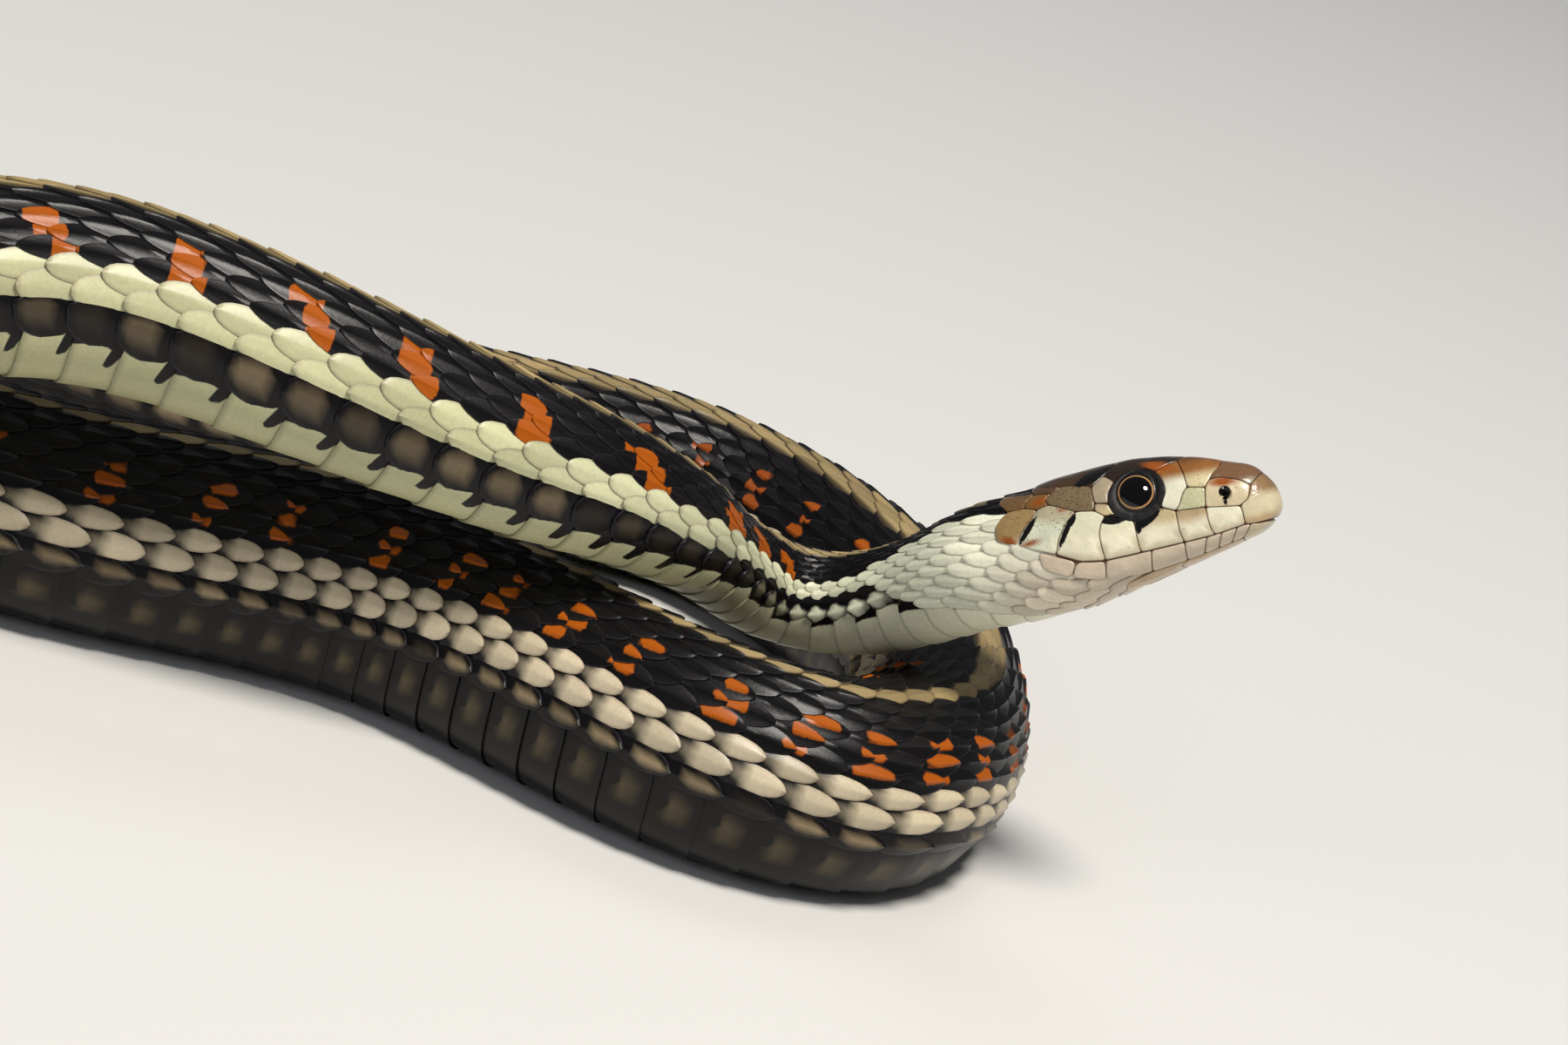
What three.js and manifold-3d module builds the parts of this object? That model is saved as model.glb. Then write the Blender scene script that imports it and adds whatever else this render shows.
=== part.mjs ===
// Garter snake at life size, lying in a loose coil with its head raised.
// Millimetres, +Z up. The origin is on the floor under the belly at the near bend of the coil,
// X runs along the body's near stretch towards that bend, and Y runs away from the viewer.
import * as THREE from "three";
import Module from "manifold-3d";

const wasm = await Module();
wasm.setup();

// Line of the body, from the nape to the tip of the tail: x and y of its middle, height of
// the belly over the floor, and the lean of the back towards the body's left in degrees.
const LINE = [
  [6.0, 9.4, 22.6, 13],
  [0.4, 12.0, 17.2, 2],
  [-5.8, 14.5, 13.2, -6],
  [-11.8, 13.8, 12.8, -8],
  [-16.8, 9.0, 15.6, -2],
  [-21.2, 3.8, 18.2, 4],
  [-27.0, -0.2, 19.6, 8],
  [-33.8, -3.0, 20.2, 9],
  [-41.4, -5.1, 20.9, 10],
  [-56.0, -8.2, 22.4, 10],
  [-70.4, -11.0, 22.8, 8],
  [-85.4, -18.5, 20.4, 4],
  [-105.4, -30.0, 12.5, 0],
  [-125.4, -31.0, 4.5, 0],
  [-138.4, -18.0, 0.5, 0],
  [-137.4, 0.0, 0, 0],
  [-123.4, 10.0, 0, 0],
  [-105.4, 6.5, 0, 0],
  [-87.4, -3.0, 0, 0],
  [-71.4, -4.5, 0, 2],
  [-55.4, 0.5, 0, 3],
  [-39.4, 3.0, 0, 3],
  [-23.4, -1.0, 0, 4],
  [-10.4, -3.6, 0, 10],
  [0.0, 0.0, 0, 20],
  [5.0, 9.0, 0, 22],
  [5.8, 20.0, 0, 14],
  [3.0, 32.5, 0, 4],
  [-5.8, 44.5, 0, 0],
  [-20.4, 51.6, 0, 0],
  [-39.4, 47.0, 0, 0],
  [-59.4, 39.0, 0, 0],
  [-83.4, 36.0, 0, 0],
  [-111.4, 39.0, 0, 0],
  [-137.4, 39.0, 0, 0],
  [-161.4, 26.0, 0, 0],
  [-174.4, 2.0, 0, 0],
  [-171.4, -26.0, 0, 0],
  [-153.4, -48.0, 0, 0],
  [-129.4, -58.0, 0, 0],
  [-99.4, -60.0, 0, 0],
];

// Girth of the body: distance behind the nape, half width, height over the middle, depth under it.
const GIRTH = [
  [0, 5.7, 5.2, 5.5],
  [7, 4.6, 4.6, 4.9],
  [18, 4.1, 4.3, 4.4],
  [28, 4.3, 4.3, 4.4],
  [38, 5.2, 5.1, 5.1],
  [50, 6.5, 6.3, 6.1],
  [66, 7.4, 7.2, 6.9],
  [90, 7.9, 7.8, 7.4],
  [150, 8.4, 8.3, 7.9],
  [240, 9.1, 9.1, 8.4],
  [325, 9.2, 9.2, 8.4],
  [355, 8.6, 8.6, 8.1],
  [400, 9.0, 9.0, 8.3],
  [480, 8.7, 8.5, 8.0],
  [530, 7.6, 7.4, 7.0],
  [555, 6.3, 6.1, 5.8],
];
const VENT = 555;
const TAIL_TIP_RADIUS = 0.5;
const TAIL_TAPER = 0.92;
const BACK_ROUNDNESS = 1.9;
const BELLY_ROUNDNESS = 2.7;
// On the floor the belly stays level under a leaning back, and is pressed flat by this much.
const SETTLE = 0.35;
const LEVEL_FROM = 95;
const LEVEL_TO = 150;
const CLEAR_OF_FLOOR = 5;
// Steps along the line, passes that settle its length, and the reach over which its way is read.
const LINE_STEPS = 2000;
const LENGTH_PASSES = 3;
const WAY_STEP = 0.4;

// Head: length from the nape, and the way its nose points.
const HEAD_LENGTH = 24.2;
const HEAD_AIM = new THREE.Vector3(0.84, -0.11, 0.531);
const SNOUT_ROUND = 2.7;
const HEAD_AROUND = 18;
// Distance in front of the nape, half width, top, widest level, underside, squareness of the top.
const HEAD_FORM = [
  [0, 5.7, 5.2, 0.0, -5.5, 2.0],
  [3, 6.1, 5.4, -0.1, -5.5, 2.1],
  [6, 6.2, 5.8, -0.3, -5.4, 2.2],
  [9, 5.8, 6.1, -0.4, -4.8, 2.3],
  [12, 5.1, 6.2, -0.5, -4.1, 2.4],
  [15, 4.4, 5.9, -0.5, -3.4, 2.5],
  [18, 3.8, 5.3, -0.4, -2.7, 2.5],
  [21.5, 3.0, 4.1, -0.2, -1.8, 2.4],
  [HEAD_LENGTH, 2.4, 3.5, 0.2, -1.1, 2.3],
];
const JAW_ROUNDNESS = 2.2;
const PAST_SNOUT = 26;
const MOUTH_LINE = [
  [3.4, 0.8], [5.0, 0.2], [6.6, -0.6], [8.6, -1.4], [10.8, -1.75], [13.6, -1.75],
  [17.1, -1.5], [19.8, -1.3], [22.3, -0.95], [23.5, -0.3], [PAST_SNOUT, 0.0],
];
const JAW_ROOT = [2.2, -8];
const GAP = 0.3;

// Eye: a flattened ball, and the nostril, on the right side of the head.
const EYE_CENTRE = [13.75, -2.95, 3.35];
const EYE_RADIUS = 2.7;
const EYE_DEPTH = 1.9;
const NOSTRIL_CENTRE = [20.5, -2.6, 2.05];
const NOSTRIL_RADIUS = 0.7;

// Head plates of the right side as corners on the head's surface: [x, height] on the side,
// [x, distance from the middle] on the top.
const PLATE_RAISE = 0.22;
const PLATE_ROOT = 0.6;
const PLATE_SEAM = 0.13;
const PLATE_CROWN = 1.6;
const SIDE_PLATES = {
  lip: [
    [[22.0, -0.8], [21.8, 0.5], [19.0, 1.0], [19.4, -1.0]],
    [[19.4, -1.0], [19.0, 1.0], [16.7, 1.1], [16.8, -1.2]],
    [[16.8, -1.2], [16.7, 1.1], [15.6, 1.4], [13.3, 0.7], [13.3, -1.5]],
    [[13.3, -1.5], [13.3, 0.7], [11.6, 1.5], [10.8, 1.6], [10.5, -1.5]],
    [[10.5, -1.5], [10.8, 1.6], [10.1, 2.4], [8.6, 2.8], [6.2, -0.2]],
    [[6.2, -0.2], [8.6, 2.8], [6.3, 3.6], [5.1, 3.2], [3.1, 1.1]],
    [[3.1, 1.1], [5.1, 3.2], [2.8, 3.6], [1.6, 2.8], [1.5, 1.4]],
  ],
  nasal: [[[21.8, 0.6], [19.0, 1.0], [19.2, 2.9], [19.8, 3.4], [22.3, 2.6], [22.5, 1.5]]],
  loreal: [[[19.0, 1.0], [16.9, 1.2], [17.7, 2.9], [19.2, 2.8]]],
  preocular: [[[16.9, 1.2], [15.9, 1.4], [16.6, 3.9], [17.5, 4.4], [17.7, 2.9]]],
  postocular: [
    [[10.0, 3.4], [10.1, 4.6], [11.0, 4.7], [10.9, 3.2]],
    [[10.1, 2.4], [10.0, 3.4], [10.9, 3.2], [11.3, 2.0], [10.8, 1.8]],
  ],
  temporal: [
    [[10.0, 2.4], [8.4, 2.9], [6.3, 3.6], [6.3, 4.5], [9.9, 4.5]],
    [[6.2, 3.7], [5.1, 3.4], [3.0, 3.7], [3.1, 4.6], [6.1, 4.6]],
  ],
};
const TOP_PLATES = {
  parietal: [[[11.6, 0], [4.9, 0], [4.3, 2.2], [6.3, 3.5], [10.1, 3.6], [11.6, 2.0]]],
  supraocular: [[[11.7, 2.0], [10.7, 3.2], [12.3, 3.9], [15.3, 3.7], [16.6, 2.7], [16.3, 1.5]]],
  prefrontal: [[[17.1, 0], [16.5, 1.5], [16.7, 2.7], [17.9, 2.9], [19.6, 2.2], [19.6, 0]]],
  internasal: [[[19.6, 0], [19.6, 2.2], [20.9, 2.1], [22.1, 1.2], [22.3, 0]]],
};
const FRONTAL_PLATE = [[17.1, 0], [16.4, 1.5], [12.1, 1.9], [11.3, 0], [12.1, -1.9], [16.4, -1.5]];
const ROSTRAL_PLATE = [[23.2, 2.4], [22.9, 1.2], [23.0, 0.3]];
const LOWER_LIP_STEPS = [22.7, 21.6, 20.4, 19.1, 17.3, 14.6, 10.9, 8.0, 5.2];
const LOWER_LIP_DEPTH = 1.3;
const LOWER_LIP_SLANT = 0.5;

// Lengths of the body: name, where it ends behind the nape, and its number of belly scutes.
const LENGTHS = [
  ["neck", 45, 13],
  ["body_01", 85, 9],
  ["body_02", 125, 8],
  ["body_03", 150, 6],
  ["body_04", 175, 6],
  ["body_05", 200, 6],
  ["body_06", 225, 6],
  ["body_07", 262, 7],
  ["body_08", 300, 7],
  ["body_09", 335, 8],
  ["body_10", 360, 7],
  ["body_11", 385, 6],
  ["body_12", 420, 7],
  ["body_13", 460, 7],
  ["body_14", 495, 7],
  ["body_15", 526, 6],
  ["body_16", VENT, 6],
  ["tail_01", 602, 8],
  ["tail_02", 652, 9],
  ["tail_03", Infinity, 8],
];
const SCUTE_STEP = 0.35;
const SCUTE_LIP = 0.12;
const AROUND = [0, 24, 48, 72, 96, 117, 142, 165, 195, 218, 243, 264, 288, 312, 336];
const SCUTE_FROM = 100;
const FLAT_FROM = 150;
const FULLY_RESTING = 0.9;
const FULL_SCUTE_GIRTH = 5;
const FACET_FILL = 1.01;

const COLOURS = {
  back: "#191518",
  neck: "#b9b98f",
  head: "#c9c6a0",
  jaw: "#dcd0b4",
  eye: "#0c0c10",
  tail: "#2a2522",
};

const finish = (colour, roughness) =>
  new THREE.MeshStandardMaterial({ color: colour, roughness, metalness: 0 });

const lerp = THREE.MathUtils.lerp;
const rad = THREE.MathUtils.degToRad;

// Smooth curve through the values: a cubic spline with level slope change at its end, and
// with the given slope at its start if there is one.
function spline(stops, values, startSlope) {
  const last = stops.length - 1;
  const bend = new Array(last + 1).fill(0);
  const carry = new Array(last + 1).fill(0);
  const width = (i) => stops[i + 1] - stops[i];
  const slope = (i) => (values[i + 1] - values[i]) / width(i);
  if (startSlope !== undefined) {
    carry[0] = 0.5;
    bend[0] = (3 * (slope(0) - startSlope)) / width(0);
  }
  for (let i = 1; i < last; i++) {
    const pivot = 2 * (width(i - 1) + width(i)) - width(i - 1) * carry[i - 1];
    carry[i] = width(i) / pivot;
    bend[i] = (6 * (slope(i) - slope(i - 1)) - width(i - 1) * bend[i - 1]) / pivot;
  }
  bend[last] = 0;
  for (let i = last - 1; i >= 0; i--) bend[i] -= carry[i] * bend[i + 1];
  return (at) => {
    let i = 0;
    while (i < last - 1 && at > stops[i + 1]) i++;
    const h = width(i);
    const a = stops[i + 1] - at;
    const b = at - stops[i];
    return (bend[i] * a ** 3 + bend[i + 1] * b ** 3) / (6 * h)
      + (values[i] / h - (bend[i] * h) / 6) * a + (values[i + 1] / h - (bend[i + 1] * h) / 6) * b;
  };
}

// Curve through the values that never swings past them.
function ease(stops, values) {
  const last = stops.length - 1;
  const slope = (i) => (values[i + 1] - values[i]) / (stops[i + 1] - stops[i]);
  const lean = values.map((_, i) => {
    if (i === 0) return slope(0);
    if (i === last) return slope(last - 1);
    const product = slope(i - 1) * slope(i);
    return product > 0 ? (2 * product) / (slope(i - 1) + slope(i)) : 0;
  });
  return (wanted) => {
    const at = THREE.MathUtils.clamp(wanted, stops[0], stops[last]);
    let i = 0;
    while (i < last - 1 && at > stops[i + 1]) i++;
    const h = stops[i + 1] - stops[i];
    const t = (at - stops[i]) / h;
    return (1 + 2 * t) * (1 - t) ** 2 * values[i] + t * (1 - t) ** 2 * h * lean[i]
      + t * t * (3 - 2 * t) * values[i + 1] + t * t * (t - 1) * h * lean[i + 1];
  };
}

const column = (rows, index) => rows.map((row) => row[index]);

// A point of a body section: across and up from its middle, at an angle from the back.
function sectionPoint(angle, halfWidth, over, under) {
  const s = Math.sin(angle);
  const c = Math.cos(angle);
  const power = 2 / (c >= 0 ? BACK_ROUNDNESS : BELLY_ROUNDNESS);
  const across = halfWidth * Math.sign(s) * Math.abs(s) ** power;
  const up = (c >= 0 ? over : under) * Math.sign(c) * Math.abs(c) ** power;
  return [across, up];
}

// The body's line, measured along itself from the nape.
class BodyLine {
  constructor() {
    const plan = [0];
    for (let i = 1; i < LINE.length; i++) {
      plan.push(plan[i - 1] + Math.hypot(LINE[i][0] - LINE[i - 1][0], LINE[i][1] - LINE[i - 1][1]));
    }
    const flat = Math.hypot(HEAD_AIM.x, HEAD_AIM.y);
    const raised = LINE.findIndex((row) => row[2] <= 0) + 1;
    const x = spline(plan, column(LINE, 0), -HEAD_AIM.x / flat);
    const y = spline(plan, column(LINE, 1), -HEAD_AIM.y / flat);
    const thinning = (GIRTH[1][3] - GIRTH[0][3]) / (GIRTH[1][0] - GIRTH[0][0]);
    const climb = -(HEAD_AIM.z + thinning) / flat;
    const lift = spline(plan.slice(0, raised), column(LINE, 2).slice(0, raised), climb);
    const lean = ease(plan, column(LINE, 3));
    const floorFrom = plan[raised - 1];
    const total = plan[plan.length - 1];
    this.length = total;
    for (let pass = 0; pass < LENGTH_PASSES; pass++) {
      this.samples = [];
      let s = 0;
      let before = null;
      for (let i = 0; i <= LINE_STEPS; i++) {
        const at = (total * i) / LINE_STEPS;
        const tilt = rad(lean(at));
        const height = at < floorFrom ? Math.max(lift(at), 0) : 0;
        const resting = 1 - THREE.MathUtils.smoothstep(height, 0, CLEAR_OF_FLOOR);
        const point = new THREE.Vector3(x(at), y(at), height + this.depthUnder(s, tilt, resting) - SETTLE);
        if (before) s += point.distanceTo(before);
        before = point;
        this.samples.push({ s, point, tilt, resting });
      }
      this.length = s;
    }
  }

  girth(s) {
    if (s <= VENT) return [1, 2, 3].map((k) => BodyLine.forms[k - 1](s));
    const left = THREE.MathUtils.clamp((this.length - s) / (this.length - VENT), 0, 1);
    return [1, 2, 3].map((k) => lerp(TAIL_TIP_RADIUS, BodyLine.forms[k - 1](VENT), left ** TAIL_TAPER));
  }

  // A point of the section at a distance behind the nape, turned by the lean of the back.
  section(s, degrees, tilt, resting, fill = 1) {
    const [halfWidth, over, under] = this.girth(s);
    const [across, up] = sectionPoint(rad(degrees), halfWidth * fill, over * fill, under);
    const fromBack = Math.min(degrees, 360 - degrees);
    const turn = tilt * (1 - resting * THREE.MathUtils.smoothstep(fromBack, LEVEL_FROM, LEVEL_TO));
    return [across * Math.cos(turn) + up * Math.sin(turn), up * Math.cos(turn) - across * Math.sin(turn)];
  }

  depthUnder(s, tilt, resting) {
    let lowest = 0;
    for (let degrees = 90; degrees <= 270; degrees += 5) {
      lowest = Math.max(lowest, -this.section(s, degrees, tilt, resting)[1]);
    }
    return lowest;
  }

  sample(s) {
    let low = 0;
    let high = this.samples.length - 1;
    while (high - low > 1) {
      const middle = (low + high) >> 1;
      if (this.samples[middle].s <= s) low = middle;
      else high = middle;
    }
    const a = this.samples[low];
    const b = this.samples[high];
    const t = (s - a.s) / (b.s - a.s);
    return {
      point: a.point.clone().lerp(b.point, t),
      tilt: lerp(a.tilt, b.tilt, t),
      resting: lerp(a.resting, b.resting, t),
    };
  }

  // Place and directions at a distance behind the nape, before any lean: forward is towards the head.
  frame(s) {
    const ahead = this.sample(Math.max(s - WAY_STEP, 0)).point;
    const behind = this.sample(Math.min(s + WAY_STEP, this.length)).point;
    const forward = ahead.sub(behind).normalize();
    const left = new THREE.Vector3(0, 0, 1).cross(forward).normalize();
    return { ...this.sample(s), forward, left, up: forward.clone().cross(left) };
  }
}
BodyLine.forms = [1, 2, 3].map((k) => ease(column(GIRTH, 0), column(GIRTH, k)));

const line = new BodyLine();

// A closed skin over rings of points, with a flat fan on each open end or a single tip point.
function loft(rings, tip) {
  const around = rings[0].length;
  const points = rings.flat();
  const faces = [];
  for (let r = 0; r < rings.length - 1; r++) {
    for (let k = 0; k < around; k++) {
      const a = r * around + k;
      const b = r * around + ((k + 1) % around);
      faces.push([a, b, b + around], [a, b + around, a + around]);
    }
  }
  const cap = (ring, start, turn, apex) => {
    const centre = points.length;
    points.push(apex ?? ring.reduce((sum, p) => sum.add(p), new THREE.Vector3()).divideScalar(around));
    for (let k = 0; k < around; k++) {
      const a = start + k;
      const b = start + ((k + 1) % around);
      faces.push(turn ? [centre, b, a] : [centre, a, b]);
    }
  };
  cap(rings[0], 0, true);
  cap(rings[rings.length - 1], (rings.length - 1) * around, false, tip);
  return { points, faces };
}

function geometry({ points, faces }) {
  const shape = new THREE.BufferGeometry();
  shape.setAttribute("position", new THREE.Float32BufferAttribute(points.flatMap((p) => [p.x, p.y, p.z]), 3));
  shape.setIndex(faces.flat());
  return shape;
}

// One ring round the body; the belly is drawn in by a little where the next scute begins.
function bodyRing(s, drawnIn) {
  const { point, left, up, tilt, resting } = line.frame(s);
  return AROUND.map((degrees) => {
    const fromBack = Math.min(degrees, 360 - degrees);
    const flat = fromBack > FLAT_FROM && resting > FULLY_RESTING;
    const [across, rise] = line.section(s, degrees, tilt, resting, FACET_FILL);
    const kept = 1 - (fromBack > SCUTE_FROM && !flat ? drawnIn : 0) / Math.hypot(across, rise);
    const p = point.clone().addScaledVector(left, across * kept).addScaledVector(up, rise * kept);
    p.z = Math.max(p.z, 0);
    return p;
  });
}

// A length of the body with its row of belly scutes, each one's rear edge over the next one's front.
function bodyLength(from, to, scutes) {
  const rings = [];
  const pitch = (to - from) / scutes;
  for (let i = 0; i < scutes; i++) {
    const start = from + pitch * i;
    const size = Math.min(1, line.girth(start)[0] / FULL_SCUTE_GIRTH);
    rings.push(bodyRing(start + (i > 0 ? SCUTE_LIP : 0), SCUTE_STEP * size));
    rings.push(bodyRing(start + pitch, 0));
  }
  return rings;
}

const headForms = [1, 2, 3, 4, 5].map((k) => ease(column(HEAD_FORM, 0), column(HEAD_FORM, k)));

// The head's section at a distance in front of the nape; it closes in a quarter round at the snout.
function headSection(x) {
  const [halfWidth, top, wide, bottom, square] = headForms.map((form) => form(x));
  const into = Math.max(x - (HEAD_LENGTH - SNOUT_ROUND), 0) / SNOUT_ROUND;
  const close = Math.sqrt(Math.max(1 - into * into, 0));
  return { halfWidth: halfWidth * close, over: (top - wide) * close, under: (wide - bottom) * close, wide, square };
}

function headPoint(x, angle, offset = 0) {
  const { halfWidth, over, under, wide, square } = headSection(x);
  const s = Math.sin(angle);
  const c = Math.cos(angle);
  const power = 2 / (c >= 0 ? square : JAW_ROUNDNESS);
  const y = (halfWidth + offset) * Math.sign(s) * Math.abs(s) ** power;
  const z = wide + ((c >= 0 ? over : under) + offset) * Math.sign(c) * Math.abs(c) ** power;
  return new THREE.Vector3(x, y, z);
}

// Points on the head's surface found from their height on the right side, or from their
// distance from the middle on the top.
function onSide(x, z) {
  const { halfWidth, over, under, wide, square } = headSection(x);
  const power = z >= wide ? square : JAW_ROUNDNESS;
  const share = Math.min(Math.abs(z - wide) / (z >= wide ? over : under), 1);
  return new THREE.Vector3(x, -halfWidth * (1 - share ** power) ** (1 / power), z);
}

function onTop(x, y) {
  const { halfWidth, over, wide, square } = headSection(x);
  const share = Math.min(Math.abs(y) / halfWidth, 1);
  return new THREE.Vector3(x, -y, wide + over * (1 - share ** square) ** (1 / square));
}

function solid({ points, faces }) {
  return new wasm.Manifold(new wasm.Mesh({
    numProp: 3,
    vertProperties: new Float32Array(points.flatMap((p) => [p.x, p.y, p.z])),
    triVerts: new Uint32Array(faces.flat()),
  }));
}

function fromSolid(body) {
  const largest = body.decompose().sort((a, b) => b.volume() - a.volume())[0];
  const mesh = largest.getMesh();
  const shape = new THREE.BufferGeometry();
  const points = [];
  for (let i = 0; i < mesh.vertProperties.length; i += mesh.numProp) {
    points.push(mesh.vertProperties[i], mesh.vertProperties[i + 1], mesh.vertProperties[i + 2]);
  }
  shape.setAttribute("position", new THREE.Float32BufferAttribute(points, 3));
  shape.setIndex(Array.from(mesh.triVerts));
  return shape;
}

// One plate of the head: its corners drawn in by the seam, raised over the surface and rooted in it.
function plate(corners) {
  const centre = corners.reduce((sum, p) => sum.add(p), new THREE.Vector3()).divideScalar(corners.length);
  const core = new THREE.Vector3(Math.min(centre.x, HEAD_LENGTH - SNOUT_ROUND), 0, 0.8);
  const out = centre.clone().sub(core).normalize();
  const drawn = corners.map((p) => {
    const inward = centre.clone().sub(p);
    return p.clone().addScaledVector(inward.normalize(), PLATE_SEAM);
  });
  const upper = drawn.map((p) => p.clone().addScaledVector(out, PLATE_RAISE));
  const lower = drawn.map((p) => p.clone().addScaledVector(out, -PLATE_ROOT));
  const crown = centre.clone().addScaledVector(out, PLATE_RAISE * PLATE_CROWN);
  const root = centre.clone().addScaledVector(out, -PLATE_ROOT);
  const n = corners.length;
  const points = [...upper, ...lower, crown, root];
  const faces = [];
  for (let i = 0; i < n; i++) {
    const j = (i + 1) % n;
    faces.push([2 * n, i, j], [2 * n + 1, n + j, n + i], [i, n + i, n + j], [i, n + j, j]);
  }
  const made = solid({ points, faces });
  return made.volume() > 0 ? made : solid({ points, faces: faces.map(([a, b, c]) => [a, c, b]) });
}

const mirrored = (corners) => corners.map((p) => new THREE.Vector3(p.x, -p.y, p.z)).reverse();

function ball(centre, radius, depth, grow = 0) {
  const sphere = new THREE.SphereGeometry(1, 16, 10);
  const at = sphere.attributes.position;
  const keyed = new Map();
  const points = [];
  const remap = [];
  for (let i = 0; i < at.count; i++) {
    const p = new THREE.Vector3().fromBufferAttribute(at, i);
    const key = [p.x, p.y, p.z].map((v) => Math.round(v * 1e5)).join();
    if (!keyed.has(key)) {
      keyed.set(key, points.length);
      points.push(new THREE.Vector3(
        centre[0] + p.x * (radius + grow), centre[1] + p.z * (depth + grow), centre[2] - p.y * (radius + grow)));
    }
    remap.push(keyed.get(key));
  }
  const index = Array.from(sphere.index.array).map((i) => remap[i]);
  const faces = [];
  for (let i = 0; i < index.length; i += 3) {
    const face = index.slice(i, i + 3);
    if (new Set(face).size === 3) faces.push(face);
  }
  return { points, faces };
}

const mirrorCentre = ([x, y, z]) => [x, -y, z];

function wholeHead() {
  const rings = [];
  const angles = Array.from({ length: HEAD_AROUND }, (_, k) => (2 * Math.PI * k) / HEAD_AROUND);
  const roundStart = HEAD_LENGTH - SNOUT_ROUND;
  const stations = [0, 3, 6, 9, 12, 15, 18, roundStart];
  for (const turn of [25, 45, 62, 77]) stations.push(roundStart + SNOUT_ROUND * Math.sin(rad(turn)));
  for (const x of stations) rings.push(angles.map((angle) => headPoint(x, -angle)));
  const { wide } = headSection(HEAD_LENGTH);
  return solid(loft(rings, new THREE.Vector3(HEAD_LENGTH, 0, wide)));
}

// A wall across the whole head with the given outline seen from its side.
const WALL_REACH = 10;
function across(outline) {
  const corners = outline.map(([x, z]) => new THREE.Vector2(x, z));
  if (THREE.ShapeUtils.isClockWise(corners)) corners.reverse();
  const n = corners.length;
  const points = [-WALL_REACH, WALL_REACH].flatMap((y) => corners.map((p) => new THREE.Vector3(p.x, y, p.y)));
  const faces = [];
  for (const face of THREE.ShapeUtils.triangulateShape(corners, [])) {
    if (THREE.ShapeUtils.area(face.map((i) => corners[i])) < 0) face.reverse();
    const [i, j, k] = face;
    faces.push([i, j, k], [n + i, n + k, n + j]);
  }
  for (let i = 0; i < n; i++) {
    const j = (i + 1) % n;
    faces.push([i, n + i, n + j], [i, n + j, j]);
  }
  return solid({ points, faces });
}

function jawRegion(shift) {
  const lip = MOUTH_LINE.map(([x, z], i) => [i === 0 ? x - shift : x, z + shift]);
  return across([[JAW_ROOT[0] - shift, JAW_ROOT[1]], [PAST_SNOUT, JAW_ROOT[1]], ...lip.reverse()]);
}

const sidePlates = (rows) => rows.map((corners) => corners.map(([x, z]) => onSide(x, z)));
const topPlates = (rows) => rows.map((corners) => corners.map(([x, y]) => onTop(x, y)));

function headPlates() {
  const right = [
    ...Object.values(SIDE_PLATES).flatMap(sidePlates),
    ...Object.values(TOP_PLATES).flatMap(topPlates),
  ];
  const rostral = ROSTRAL_PLATE.map(([x, z]) => onSide(x, z));
  return [
    ...right, ...right.map(mirrored), [...rostral, ...mirrored(rostral)],
    FRONTAL_PLATE.map(([x, y]) => onTop(x, y)),
  ];
}

function lowerLipPlates() {
  const mouth = ease(column(MOUTH_LINE, 0), column(MOUTH_LINE, 1));
  const right = LOWER_LIP_STEPS.slice(1).map((rear, i) => {
    const front = LOWER_LIP_STEPS[i];
    const drop = GAP / 2 + 0.1;
    const depth = LOWER_LIP_DEPTH * Math.min(1, 0.6 + i * 0.1);
    return [
      onSide(front, mouth(front) - drop), onSide(rear, mouth(rear) - drop),
      onSide(rear - LOWER_LIP_SLANT, mouth(rear) - depth), onSide(front - LOWER_LIP_SLANT, mouth(front) - depth),
    ];
  });
  return [...right, ...right.map(mirrored)];
}

function placed(name, shape, colour, roughness) {
  const mesh = new THREE.Mesh(shape, finish(colour, roughness));
  mesh.name = name;
  return mesh;
}

const group = new THREE.Group();

const head = new THREE.Group();
const nape = line.frame(0);
head.matrixAutoUpdate = false;
head.matrix.makeBasis(nape.forward, nape.left, nape.up).setPosition(nape.point);
head.matrix.multiply(new THREE.Matrix4().makeRotationX(-nape.tilt));
group.add(head);

const skull = wholeHead();
const join = (base, forms) => forms.reduce((whole, corners) => whole.add(plate(corners)), base);
const socket = (centre) => solid(ball(centre, EYE_RADIUS, EYE_DEPTH, GAP));
const nostril = (centre) => solid(ball(centre, NOSTRIL_RADIUS, NOSTRIL_RADIUS));
let upperHead = join(skull.subtract(jawRegion(GAP / 2)), headPlates()).subtract(jawRegion(GAP / 2));
for (const centre of [EYE_CENTRE, mirrorCentre(EYE_CENTRE)]) upperHead = upperHead.subtract(socket(centre));
for (const centre of [NOSTRIL_CENTRE, mirrorCentre(NOSTRIL_CENTRE)]) {
  upperHead = upperHead.subtract(nostril(centre));
}
const lowerJaw = join(skull.intersect(jawRegion(-GAP / 2)), lowerLipPlates()).intersect(jawRegion(-GAP / 2));

head.add(placed("head", fromSolid(upperHead), COLOURS.head, 0.4));
head.add(placed("lower_jaw", fromSolid(lowerJaw), COLOURS.jaw, 0.4));
head.add(placed("eye_right", geometry(ball(EYE_CENTRE, EYE_RADIUS, EYE_DEPTH)), COLOURS.eye, 0.05));
head.add(placed("eye_left", geometry(ball(mirrorCentre(EYE_CENTRE), EYE_RADIUS, EYE_DEPTH)), COLOURS.eye, 0.05));

let from = GAP / 2;
for (const [name, wanted, scutes] of LENGTHS) {
  const to = Math.min(wanted, line.length) - GAP / 2;
  const rings = bodyLength(from + GAP / 2, to, scutes);
  const colour = name === "neck" ? COLOURS.neck : name.startsWith("tail") ? COLOURS.tail : COLOURS.back;
  group.add(placed(name, geometry(loft(rings)), colour, 0.4));
  from = to + GAP / 2;
}

export default group;
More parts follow.
